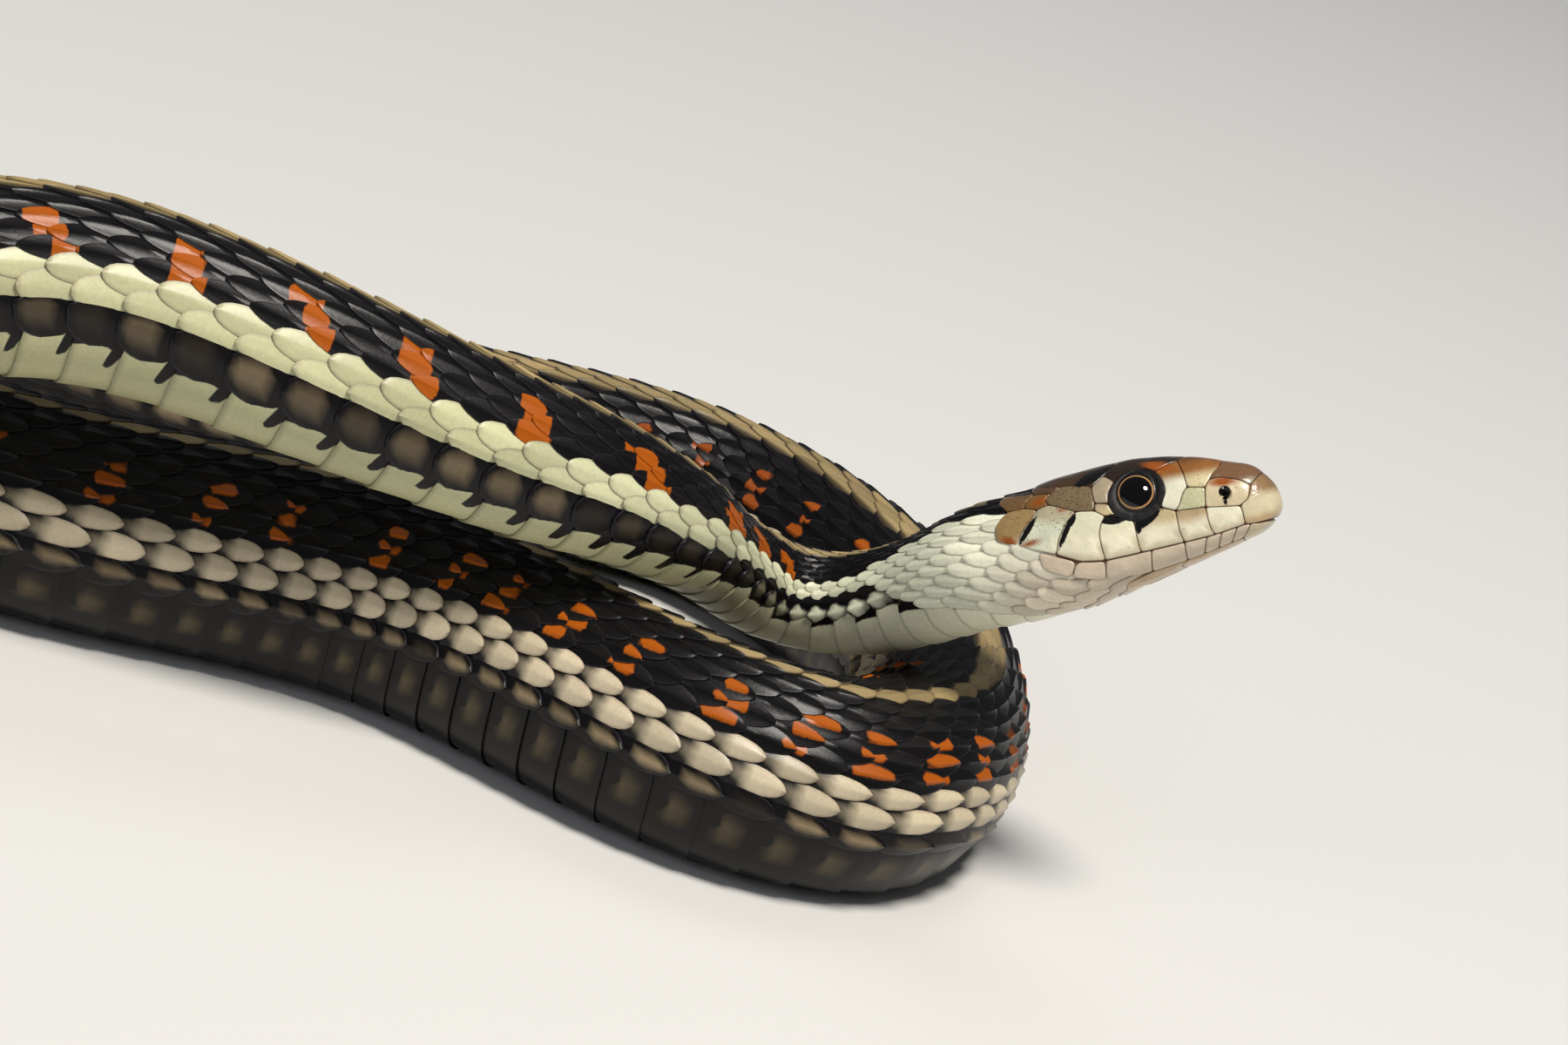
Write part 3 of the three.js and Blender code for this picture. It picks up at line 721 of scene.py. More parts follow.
def grid_shell(rows: int, columns: int) -> tuple[Array, Array]:
    """Lays out the triangles of a grid with a wall round it and a floor under it.

    Args:
        rows: Points of the grid from root to tip.
        columns: Points of the grid across.

    Returns:
        The triangles, and the place of each of their corners on a square. The points are the
        grid's row by row, then the wall's lower edge, then the middle of the floor.
    """
    index = np.arange(rows * columns).reshape(rows, columns)
    top = halves(index[:-1, :-1], index[:-1, 1:], index[1:, 1:], index[1:, :-1])
    rim = rim_of(index)
    low = rows * columns + np.arange(len(rim))
    after = np.roll(np.arange(len(rim)), -1)
    wall = halves(rim, low, low[after], rim[after])
    centre = np.full(len(rim), low[-1] + 1)
    under = np.column_stack([centre, low[after], low])
    # The top and the wall round it take the left of the square, and the floor takes the right.
    u = np.tile(np.linspace(0.12, 0.68, columns), rows)
    v = np.repeat(np.linspace(0.12, 0.88, rows), columns)
    spot = np.column_stack([u, v])
    middle = np.array([0.4, 0.5])
    from_middle = spot[rim] - middle
    spots = np.concatenate([spot, middle + from_middle * np.array([1.25, 1.2]), middle[None]])
    low_middle = np.array([0.87, 0.5])
    floor = np.concatenate([spot, low_middle + from_middle * np.array([0.2, 1.0]), low_middle[None]])
    faces = np.concatenate([top, wall, under])
    corners = np.concatenate([spots[top], spots[wall], floor[under]])
    return faces, corners


@dataclass
class Scales:
    """Keeled, overlapping scales of the back and sides in lengthwise rows.

    Rows are counted from the middle of the back, 0, to the belly, 10; widths are shares of a
    common row's, as the rows by the belly are wider. Row 9 is only on the neck and throat, and
    rows 11 and 12 only on the throat.
    """

    form: SnakeForm
    seed: int = 7
    row_widths: tuple[float, ...] = (1, 1, 1, 1, 1, 1, 1, 1.15, 1.35, 0, 1.75, 0, 0)
    neck_row_widths: tuple[float, ...] = (1, 1, 1, 1, 1, 1, 1, 1.2, 1.2, 1.5, 2.2, 0, 0)
    throat_row_widths: tuple[float, ...] = (1, 1, 1, 1, 1, 1, 1, 1, 1, 1, 1, 1, 1)
    tail_row_widths: tuple[float, ...] = (1, 1, 1, 1, 1.1, 1.3)
    throat_ends: tuple[float, float] = (3.0, 14.0)
    neck_ends: tuple[float, float] = (20.0, 44.0)
    least_width: float = 0.6
    first: float = -13.0
    length_in_pitches: float = 1.5
    half_width: float = 0.84
    root_rise: float = -0.40
    tip_rise: float = 0.05
    crown: float = 0.09
    plump_crown: float = 0.12
    keel: float = 0.12
    gap: float = 0.32
    first_plump_row: float = 6.5
    apart_ends: tuple[float, float] = (180.0, 240.0)
    blunt_ends: tuple[float, float] = (30.0, 12.0)
    blunt_rows: tuple[float, float] = (2.5, 3.5)
    full_size: float = 0.83
    bare_tip: float = 3.0
    wall: float = 0.28
    along: tuple[float, ...] = (0, 0.22, 0.42, 0.58, 0.72, 0.84, 0.92, 0.975, 1.0)
    across: tuple[float, ...] = (-1, -0.72, -0.2, 0, 0.2, 0.72, 1)

    def outline(self, left: Array, plump: Array, blunt: Array) -> Array:
        """Gives a scale's half width in row widths.

        Args:
            left: Distances from the tip in pitches.
            plump: One for the round scales near the belly, zero for the narrow ones.
            blunt: One for the low, blunt scales of neck and throat.

        Returns:
            The half widths.
        """
        t = np.clip(left / (0.9 - 0.12 * plump - 0.3 * blunt), 0, 1)
        shape = (1 - (1 - t) ** 2.3) ** (0.62 - 0.14 * np.maximum(plump, blunt))
        widest = self.half_width * (1 - 0.17 * blunt)
        return widest * np.maximum(shape, 0.1) * (1 - 0.35 * smooth(0.9, 1.5, left))

    def layout(self, row: Array, s: Array) -> tuple[Array, Array]:
        """Places scales between the back and the belly's edge.

        Args:
            row: Row of each scale, below zero on the right side.
            s: Distances behind the nape.

        Returns:
            Middle and width of each scale's row there, as shares of the way to the edge.
        """
        on_throat = smooth(self.throat_ends[1], self.throat_ends[0], s)
        on_neck = smooth(self.neck_ends[1], self.neck_ends[0], s)
        on_tail = s > self.form.body.vent
        number = np.abs(row)
        found = []
        for widths in (self.row_widths, self.neck_row_widths, self.throat_row_widths, self.tail_row_widths):
            size = np.zeros(len(self.row_widths))
            size[:len(widths)] = widths
            ends = np.cumsum(size) - size[0] / 2
            found.append((ends[number] - size[number] / 2, size[number], ends[-1]))
        common, neck, throat, tail = found
        mixed = [a + (b - a) * on_neck + (c - b) * on_throat for a, b, c in zip(common, neck, throat)]
        middle, width, total = (np.where(on_tail, c, m) for c, m in zip(tail, mixed))
        return np.sign(row) * middle / total, width / total

    def listed(self, start: float, stop: float, keep: Callable) -> dict[str, Array]:
        """Lists the scales of a length of the body.

        Args:
            start: Where it begins behind the nape.
            stop: Where it ends.
            keep: Tells which scales stay, from their place along the body and their share.

        Returns:
            For each scale its row, its count along the body and its distance behind the nape.
        """
        last_row = len(self.row_widths if start < self.form.body.vent else self.tail_row_widths) - 1
        rows = np.arange(-last_row, last_row + 1)
        first = int(np.floor(self.form.count_at(np.array(start)))) - 3
        counts = np.arange(first, int(self.form.count_at(np.array(stop))) + 1)
        row, count = (grid.ravel() for grid in np.meshgrid(rows, counts, indexing="ij"))
        count = count + 0.5 * (np.abs(row) % 2)
        seen = self.form.at_count(count + 1.0)
        middle, width = self.layout(row, seen)
        least = self.least_width / 11 if start < self.form.body.vent else 0
        stay = (seen > start) & (seen <= stop) & (width > least) & keep(seen, middle)
        return {"row": row[stay], "count": count[stay], "seen": seen[stay]}

    def shells(self, listed: dict[str, Array], rim: Array) -> tuple[Array, Array, Array]:
        """Shapes the scales.

        Args:
            listed: For each scale its row, its count along the body and its distance.
            rim: Points of a scale's grid that are on its rim.

        Returns:
            Points of each scale, each point's distance along the body, and the place of the
            grid's points along and across a scale.
        """
        a, b = np.meshgrid(np.array(self.along), np.array(self.across), indexing="ij")
        a, b = a.ravel(), b.ravel()
        row = listed["row"][:, None]
        left = (1 - a) * self.length_in_pitches
        plump = smooth(self.first_plump_row - 0.5, self.first_plump_row, np.abs(row))
        seen = listed["seen"][:, None]
        apart = plump * smooth(*self.apart_ends, seen)
        blunt = smooth(*self.blunt_ends, seen) * smooth(*self.blunt_rows, np.abs(row))
        s = self.form.at_count(listed["count"][:, None] + (self.length_in_pitches - left)[None])
        middle, breadth = self.layout(np.broadcast_to(row, s.shape), np.broadcast_to(seen, s.shape))
        share = middle + b[None] * self.outline(left[None], plump, blunt) * (1 - self.gap * apart) * breadth
        girth = self.form.body.girth(np.maximum(s, 0))[0]
        size = np.clip(girth * breadth / self.full_size, 0.25, 1.15)
        lift = self.root_rise + (self.tip_rise - self.root_rise) * a ** 1.15
        ridge = self.keel * (np.abs(b) < 0.1) * smooth(0.1, 0.5, a) * smooth(1.04, 0.9, a)
        over = self.crown + self.plump_crown * plump * (0.3 + 0.7 * apart)
        domed = over * ((1 - b ** 2) * smooth(0.0, 0.4, a))[None]
        rise = lift[None] * np.minimum(size, 1) + (domed + ridge[None] * (1 - 0.75 * plump)) * size
        degrees = self.form.degrees_at(share, s)
        wall = self.wall * np.minimum(size[:, rim], 1)
        return self.form.closed(s, degrees, rise, wall, rim), s, np.stack([a, b])

    def build(self, material: Material, paint: "Markings", keep: Callable) -> list[Piece]:
        """Makes the pieces of scales.

        Args:
            material: Their finish.
            paint: The animal's markings.
            keep: Tells which scales stay, from their place along the body and their share.

        Returns:
            The mesh objects.
        """
        faces, spots = grid_shell(len(self.along), len(self.across))
        rim = rim_of(np.arange(len(self.along) * len(self.across)).reshape(len(self.along), -1))
        vent = self.form.body.vent
        stretches = (
            ("neck", self.first, 30.0), ("nape_bend", 30.0, 90.0), ("front", 90.0, 170.0),
            ("loop", 170.0, 250.0), ("coil", 250.0, 330.0), ("bend", 330.0, 400.0), ("rear", 400.0, 480.0),
            ("hips", 480.0, vent), ("tail", vent, self.form.body.length - self.bare_tip),
        )
        pieces = []
        for name, start, stop in stretches:
            listed = self.listed(start, stop, keep)
            points, s, grid = self.shells(listed, rim)
            painted = paint.scales(listed, s, grid, self.seed + len(pieces), name == "tail")
            pile = Pile()
            pile.add(points, faces, painted.with_wall(rim), spots)
            pieces.append(pile.to_object(f"scales_{name}", material))
            LOG.info("scales_%s: %d scales, %d triangles", name, len(points), len(points) * len(faces))
        return pieces


@dataclass
class Scutes:
    """Wide scutes of the belly, one to each count of scales, and those under the tail."""

    form: SnakeForm
    columns: int = 31
    along: tuple[float, ...] = (0, 0.2, 0.28, 0.36, 0.45, 0.58, 0.75, 0.9, 1.0)
    length_in_pitches: float = 1.28
    root_rise: float = -0.32
    tip_rise: float = -0.06
    wall: float = 0.22
    first: float = -7.0
    bare_tip: float = 4.0
    overhang: float = 6.0
    bow: float = 80.0
    full_girth: float = 8.0

    def build(self, material: Material, paint: "Markings") -> Piece:
        """Makes the belly.

        Args:
            material: Its finish.
            paint: The animal's markings.

        Returns:
            The mesh object.
        """
        count = np.arange(
            np.ceil(self.form.count_at(np.array(self.first))),
            np.floor(self.form.count_at(np.array(self.form.body.length - self.bare_tip))),
        )
        bow = np.radians(self.bow)
        across = np.sin(np.linspace(-1, 1, self.columns) * bow) / np.sin(bow)
        a, b = np.meshgrid(np.array(self.along), across, indexing="ij")
        rim = rim_of(np.arange(a.size).reshape(a.shape))
        a, b = a.ravel(), b.ravel()
        back = 0.1 * np.abs(b) ** 8
        s = self.form.at_count(count[:, None] + (a * self.length_in_pitches - back)[None])
        reach = 180 - self.form.belly_edge(s) + self.overhang * (1 - 0.35 * smooth(0.7, 1, a))
        degrees = 180 - b[None] * reach + self.form.back_turn(s)
        size = np.clip(self.form.body.girth(np.maximum(s, 0))[0] / self.full_girth, 0.25, 1)
        lift = self.root_rise + (self.tip_rise - self.root_rise) * a ** 1.3
        rise = (lift[None] - 0.1 * smooth(0.9, 1, np.abs(b))[None]) * size
        points = self.form.closed(s, degrees, rise, self.wall * size[:, rim], rim)
        faces, spots = grid_shell(len(self.along), self.columns)
        painted = paint.scutes(count, s, a, b, reach)
        pile = Pile()
        pile.add(points, faces, painted.with_wall(rim), spots)
        LOG.info("belly_scutes: %d scutes, %d triangles", len(points), len(points) * len(faces))
        return pile.to_object("belly_scutes", material)


# Head plates of the right side: corners as distance before the nape and angle from the crown.
# A corner "eye" with two angles stands for an arc of the eye's rim between them.
SIDE_PLATES = {
    "lip_1": ((18.8, 79), (21.5, 82), (21.6, 87), (21.6, 108), (19.1, 108), (18.9, 98), (18.8, 88)),
    "lip_2": ((16.4, 78), (18.8, 79), (18.8, 88), (18.9, 98), (19.1, 108), (16.6, 104), (16.4, 90),
        (16.4, 83)),
    "lip_3": ((16.4, 78), (16.4, 83), (16.4, 90), (16.6, 104), (13.1, 101), (13.0, 92), (13.0, 81),
        ("eye", 258, 318)),
    "lip_4": ((13.0, 81), (13.0, 92), (13.1, 101), (10.2, 100), (10.1, 90), (10.1, 83), (10.4, 76),
        (10.8, 72), ("eye", 228, 256)),
    "lip_5": ((8.5, 63), (10.0, 66), (10.8, 72), (10.4, 76), (10.1, 83), (10.1, 90), (10.2, 100),
        (8.3, 96.5), (6.4, 90), (6.8, 81), (7.6, 70)),
    "lip_6": ((6.2, 50), (7.6, 58), (8.5, 63), (7.6, 70), (6.8, 81), (6.4, 90), (4.6, 85), (3.3, 79.5),
        (3.7, 70), (4.6, 60), (5.2, 52)),
    "lip_7": ((2.5, 44), (4.1, 46), (4.9, 50), (5.2, 52), (4.6, 60), (3.7, 70), (3.3, 79.5), (1.5, 72),
        (1.4, 58), (1.9, 50)),
    "nasal": ((19.4, 50), (19.0, 60), (18.8, 79), (21.5, 82), (22.2, 76), (22.5, 56), (21.4, 48),
        (20.2, 46)),
    "loreal": ((17.6, 59), (19.0, 60), (18.8, 79), (16.4, 78), (16.8, 74), (17.2, 64)),
    "preocular": ((16.8, 20), (17.4, 44), (17.6, 59), (17.2, 64), (16.8, 74), (16.4, 78), ("eye", 320, 408)),
    "postocular_upper": ((10.8, 32), (9.9, 43), (9.9, 48), (10.1, 60), ("eye", 186, 138)),
    "postocular_lower": ((10.1, 60), (10.0, 66), (10.8, 72), ("eye", 226, 188)),
    "temporal_front": ((8.8, 37), (9.9, 43), (9.9, 48), (10.1, 60), (10.0, 66), (8.5, 63), (7.6, 58),
        (6.2, 50), (5.9, 43), (6.4, 38), (7.2, 32)),
    "temporal_low": ((6.4, 38), (5.9, 43), (6.2, 50), (5.2, 52), (4.9, 50), (4.1, 46), (4.1, 37), (4.8, 32)),
    "temporal_back": ((4.4, 22), (4.8, 32), (4.1, 37), (4.1, 46), (2.5, 44), (1.5, 28), (1.7, 16),
        (2.9, 15)),
    "temporal_top": ((7.2, 32), (6.4, 38), (4.8, 32), (4.4, 22), (4.5, 15), (6.1, 28)),
    "supraocular": ((16.8, 20), (11.7, 17), (10.8, 32), ("eye", 138, 48)),
    "prefrontal": ((20.1, 0), (20.2, 16), (20.1, 28), (19.7, 40), (19.4, 50), (19.0, 60), (17.6, 59),
        (17.4, 44), (16.8, 20), (17.1, 0)),
    "internasal": ((23.2, 0), (23.0, 32), (22.5, 56), (21.4, 48), (20.2, 46), (19.4, 50), (19.7, 40),
        (20.1, 28), (20.2, 16), (20.1, 0)),
    "parietal": ((11.3, 0), (11.7, 17), (10.8, 32), (9.9, 43), (8.8, 37), (7.2, 32), (6.1, 28), (4.5, 15),
        (4.7, 0)),
    "chin_front": ((20.7, 180), (21.0, 151), (20.0, 149), (18.9, 149), (17.7, 148), (16.3, 146), (15.6, 155),
        (15.4, 180)),
    "chin_back": ((15.4, 180), (15.6, 155), (16.3, 146), (13.4, 138), (11.1, 143), (10.6, 160), (12.4, 174)),
}
MIDDLE_PLATES = {
    "rostral": ((23.2, 0), (23.0, 32), (22.5, 56), (22.2, 76), (21.5, 82), (21.6, 87), (21.6, 108),
        (22.2, 115), (23.0, 128), (23.5, 150), (23.7, 180)),
    "frontal": ((17.1, 0), (16.8, 20), (11.7, 17), (11.3, 0)),
    "mental": ((23.4, 180), (23.3, 157), (23.0, 137), (22.5, 123), (22.0, 112), (21.0, 151), (20.7, 180)),
}
# Lower lip: place of each seam along the mouth, and where that seam ends below.
LOWER_LIP = (
    (22.0, 21.0, 151), (20.9, 20.0, 149), (19.6, 18.9, 149), (18.4, 17.7, 148), (16.6, 16.3, 146),
    (13.9, 13.4, 138), (10.2, 9.8, 124), (7.9, 7.2, 109), (4.9, 5.0, 97),
)


@dataclass
class HeadPlates:
    """Smooth plates of the head, each a closed low cushion with a fine seam round it."""

    form: SnakeForm
    seam: float = 0.018
    raise_by: float = 0.07
    bevel: float = 0.16
    crown: float = 0.04
    sink: float = 0.45
    step: float = 0.18
    ring_step: float = 0.24
    nostril: tuple[float, float] = (20.5, 68.0)
    nostril_size: float = 0.5
    nostril_depth: float = 0.7
    nostril_lip: float = 0.05
    lip_gap: float = 0.6
    eased: int = 2
    eased_at_corner: int = 8
    corner_plates: tuple[str, ...] = ("lower_lip_7", "lower_lip_8")

    def corners(self, listed: tuple) -> Array:
        """Turns a list of corners into points on the head.

        Args:
            listed: Corners, some of them arcs of the eye's rim.

        Returns:
            The points on the right side.
        """
        head = self.form.head
        centre = np.array(head.eye_centre)
        found = []
        for corner in listed:
            if corner[0] == "eye":
                turns = np.radians(np.linspace(corner[1], corner[2], 9))
                across, high = head.eye_rim
                ring = centre + np.column_stack([across * np.cos(turns), np.zeros(9), high * np.sin(turns)])
                ring[:, 1] = -4.0
                found.extend(self.onto_side(ring))
            else:
                found.append(head.point(np.array(float(corner[0])), np.array(-float(corner[1]))))
        return np.array(found)

    def onto_side(self, points: Array) -> Array:
        """Slides points sideways until they lie on the head's right side.

        Args:
            points: Points in the head's frame.

        Returns:
            The points on the surface.
        """
        head = self.form.head
        low = np.full(len(points), 0.3)
        high = np.full(len(points), 8.0)
        for _ in range(30):
            middle = (low + high) / 2
            tried = points.copy()
            tried[:, 1] = -middle
            inside = head.reach(tried) < 1
            low = np.where(inside, middle, low)
            high = np.where(inside, high, middle)
        slid = points.copy()
        slid[:, 1] = -low
        return slid

    def border(self, corners: Array, rounding: int) -> Array:
        """Runs a fine line round a plate, with its corners rounded.

        Args:
            corners: The corners on the head.
            rounding: How many times the line is eased.

        Returns:
            Points of the line.
        """
        head = self.form.head
        line = []
        for here, there in zip(corners, np.roll(corners, -1, axis=0)):
            parts = max(int(np.ceil(np.linalg.norm(there - here) / self.step)), 1)
            line.extend(here + (there - here) * k / parts for k in range(parts))
        line = head.project(np.array(line))
        for _ in range(rounding):
            line = 0.5 * line + 0.25 * (np.roll(line, 1, axis=0) + np.roll(line, -1, axis=0))
        out = head.normal(line)
        way = unit(np.roll(line, -1, axis=0) - np.roll(line, 1, axis=0))
        inward = np.cross(out, way)
        centre = line.mean(axis=0)
        inward *= np.sign(np.sum(inward * (centre - line)))
        return head.project(line + inward * self.seam)

    def cushion(self, line: Array, centre: Array) -> tuple[Array, Array, Array, Array]:
        """Fills a plate with rings from its middle to its border.

        Args:
            line: Points of the border.
            centre: The plate's middle.

        Returns:
            Points, triangles, distance of each point from the border, and each triangle
            corner's place on a square.
        """
        head = self.form.head
        size = float(np.linalg.norm(line - centre, axis=1).mean())
        rings = max(int(np.ceil(size / self.ring_step)), 3)
        shares = np.linspace(0, 1, rings + 1)[1:]
        shares = np.sort(np.concatenate([shares, [1 - 0.07 / size, 1 - 0.14 / size]]))
        count = len(line)
        near = np.min(np.linalg.norm(line - centre, axis=1))
        layers = []
        edge = [np.array([near])]
        middle = head.project(centre[None])
        for share in shares:
            layers.append(head.project(middle + (line - middle) * share))
            gap = (1 - share) * np.linalg.norm(line - middle, axis=1)
            edge.append(gap)
        top = np.concatenate([middle, *layers])
        edge = np.concatenate(edge)
        out = head.normal(top)
        slope = np.clip(edge / self.bevel, 0, 1)
        rise = self.raise_by * np.sqrt(slope * (2 - slope))
        rise = rise + self.crown * smooth(0, near, edge)
        nostril = head.point(np.array(self.nostril[0]), np.array(-self.nostril[1]))
        hole = np.linalg.norm(top - nostril, axis=1)
        rise = rise - self.nostril_depth * smooth(self.nostril_size, 0.35 * self.nostril_size, hole)
        rise = rise + self.nostril_lip * np.exp(-((hole - self.nostril_size * 1.15) / 0.2) ** 2)
        points = top + out * rise[:, None]
        low = layers[-1] - out[-count:] * self.sink
        points = np.concatenate([points, low, low.mean(axis=0, keepdims=True)])
        faces, floor = rings_shell(count, len(shares) + 1)
        turn = 2 * np.pi * np.arange(count) / count
        circle = np.column_stack([np.cos(turn), np.sin(turn)])
        centre = np.array([0.4, 0.5])
        rings = [centre + circle * share * 0.32 for share in shares]
        spots = np.concatenate([centre[None], *rings, centre + circle * 0.37, centre[None]])
        bottom = spots.copy()
        bottom[-1 - count:-1] = np.array([0.89, 0.5]) + circle * np.array([0.08, 0.4])
        bottom[-1] = (0.89, 0.5)
        corners = np.concatenate([spots[faces], bottom[floor]])
        edge = np.concatenate([edge, np.full(count + 1, -0.2)])
        return points, np.concatenate([faces, floor]), edge, corners

    def plates(self) -> list[tuple[str, Array, bool]]:
        """Lists the plates.

        Returns:
            Each one's name, its corners on the right side, or on both for a middle one, and
            whether it is a middle one.
        """
        mouth = ease(*rows_of(MOUTH_LINE))
        listed = [(name, self.corners(corners), False) for name, corners in SIDE_PLATES.items()]
        for k, (front, back) in enumerate(zip(LOWER_LIP[:-1], LOWER_LIP[1:])):
            middle = (front[0] + back[0]) / 2
            corners = (
                *((x, mouth(np.array(x)) + self.lip_gap) for x in (front[0], middle, back[0])),
                (back[1], back[2]), (front[1], front[2]),
            )
            listed.append((f"lower_lip_{k + 1}", self.corners(corners), False))
        for name, corners in MIDDLE_PLATES.items():
            right = self.corners(corners)
            left = (right[1:-1] * np.array([1, -1, 1]))[::-1]
            listed.append((name, np.concatenate([right, left]), True))
        return listed

    def build(self, material: Material, paint: "Markings") -> Piece:
        """Makes the plates.

        Args:
            material: Their finish.
            paint: The animal's markings.

        Returns:
            The mesh object.
        """
        pile = Pile()
        for name, corners, middle in self.plates():
            line = self.border(corners, self.eased_at_corner if name in self.corner_plates else self.eased)
            centre = line.mean(axis=0)
            if name == "nasal":
                centre = self.form.head.point(np.array(self.nostril[0]), np.array(-self.nostril[1]))
            points, faces, edge, spots = self.cushion(line, centre)
            faces, spots = turned_out(points, faces, spots)
            painted = paint.plate(name, points, edge)
            for side in [Side.RIGHT] if middle else Side:
                if side is Side.LEFT:
                    faces, spots = mirrored(faces, spots)
                placed = self.form.from_head(points * np.array([1, side.value, 1]))
                pile.add(placed[None], faces, painted, spots)
        LOG.info("head_plates: %d plates, %d triangles", pile.shells, sum(len(f) for f in pile.faces))
        return pile.to_object("head_plates", material, 60.0)


@dataclass
class Eye:
    """An eye: a dome over a black pupil with a thin gold ring, in dark skin that fits the head."""

    form: SnakeForm
    pupil: float = 1.35
    ring: float = 1.45
    dome: float = 1.56
    rim: tuple[float, float] = (2.40, 2.17)
    dome_level: float = -0.12
    dome_rise: float = 0.6
    dome_up: float = 0.26
    fold: float = 0.05
    fold_places: tuple[float, ...] = (48, 138, 188, 228, 256, 318)
    skin_steps: tuple[float, ...] = (0.04, 0.1, 0.2, 0.32, 0.45, 0.58, 0.7, 0.82, 0.92, 1)
    skin_rises: tuple[float, ...] = (-0.12, -0.12, -0.07, -0.02, 0.01, 0.02, 0.02, 0.02, 0.01, -0.10)
    dome_steps: int = 22
    turns: int = 72
    crease: float = 30.0
    dark: str = "#0a0a0c"

    def profile(self) -> tuple[Array, Array, Array]:
        """Gives rings from the middle out.

        Returns:
            Each ring's distance from the middle, its height over a flat plane, and its height
            over the head's surface.
        """
        arc = np.linspace(0, 1, self.dome_steps)
        skin_at = self.dome + (self.rim[0] - self.dome) * np.array(self.skin_steps)
        away = np.concatenate([self.dome * arc, skin_at])
        ball = (self.dome ** 2 + self.dome_rise ** 2) / (2 * self.dome_rise)
        cap = np.sqrt(ball ** 2 - (self.dome * arc) ** 2) - ball + self.dome_rise
        flat = self.dome_level + np.concatenate([cap, np.zeros(len(skin_at))])
        return away, flat, np.concatenate([np.full(len(arc), -0.05), self.skin_rises])

    def build(self, name: str, side: Side, plates: HeadPlates, material: Material) -> Piece:
        """Makes one eye.

        Args:
            name: Name of the piece.
            side: The side of the head that it is on.
            plates: The head's plates, which know the head's side surface.
            material: Its finish.

        Returns:
            The mesh object.
        """
        head = self.form.head
        away, flat, over = self.profile()
        turn = np.linspace(0, 2 * np.pi, self.turns, endpoint=False)
        centre = np.array([head.eye_centre[0], -4.0, head.eye_centre[2]])
        middle = plates.onto_side(centre[None])[0]
        out = head.normal(middle[None])[0]
        east = unit(np.cross(np.array([0.0, 0.0, 1.0]), out))
        north = np.cross(out, east)
        between = (turn[:, None] - np.radians(self.fold_places)[None] + np.pi) % (2 * np.pi) - np.pi
        folded = self.fold * np.exp(-(between / 0.05) ** 2).sum(axis=1) + 0.012 * np.sin(17 * turn)
        rings = [(middle + out * flat[0] + north * self.dome_up)[None]]
        for r, level, rise in zip(away[1:], flat[1:], over[1:]):
            wide = (r - self.dome) / (self.rim[0] - self.dome)
            squash = 1 - (1 - self.rim[1] / self.rim[0]) * max(wide, 0)
            up = self.dome_up * (1 - smooth(0.3, 1.0, wide))
            spread = r * np.cos(turn)[:, None]
            climb = squash * r * np.sin(turn)[:, None] + up
            domed = middle + spread * east + climb * north + level * out
            seen = plates.onto_side(centre + np.concatenate([spread, 0 * spread, climb], axis=1))
            skin = seen + head.normal(seen) * (rise - folded * smooth(0.1, 0.5, wide))[:, None]
            share = smooth(self.dome - 0.05, self.dome + 0.2, np.array(r))
            rings.append(domed + (skin - domed) * share)
        rings.append(rings[-1] - out * 0.5)
        rings.append((middle - out * 1.2)[None])
        points = np.concatenate(rings)
        border = np.full(self.turns, self.rim[0])
        distance = np.concatenate([[0], np.repeat(away[1:], self.turns), border, [0]])
        faces = np.concatenate(rings_shell(self.turns, len(rings) - 2))
        spread = self.rim[0] * 1.05 * (np.arange(len(rings)) / (len(rings) - 2))
        circle = np.column_stack([np.cos(turn), np.sin(turn)])
        flat_spot = np.concatenate([[[0, 0]], *(circle * r for r in spread[1:-1]), [[0, 0]]])
        spots = 0.5 + 0.19 * flat_spot[faces.ravel()]
        under = np.repeat((faces == len(points) - 1).any(axis=1), 3)
        spots[under] = 0.5 + (spots[under] - 0.5) * 0.02 + np.array([0.48, 0.48])
        faces, spots = turned_out(points, faces, spots)
        if side is Side.LEFT:
            faces, spots = mirrored(faces, spots)
        world = self.form.from_head(points * np.array([1, side.value, 1]))
        marks = np.column_stack([distance, 0 * distance, 0 * distance])
        ground = np.tile(tone(self.dark), (len(points), 1))
        return make_mesh(name, world, faces, Paint(ground, ground, marks), spots, material, self.crease)


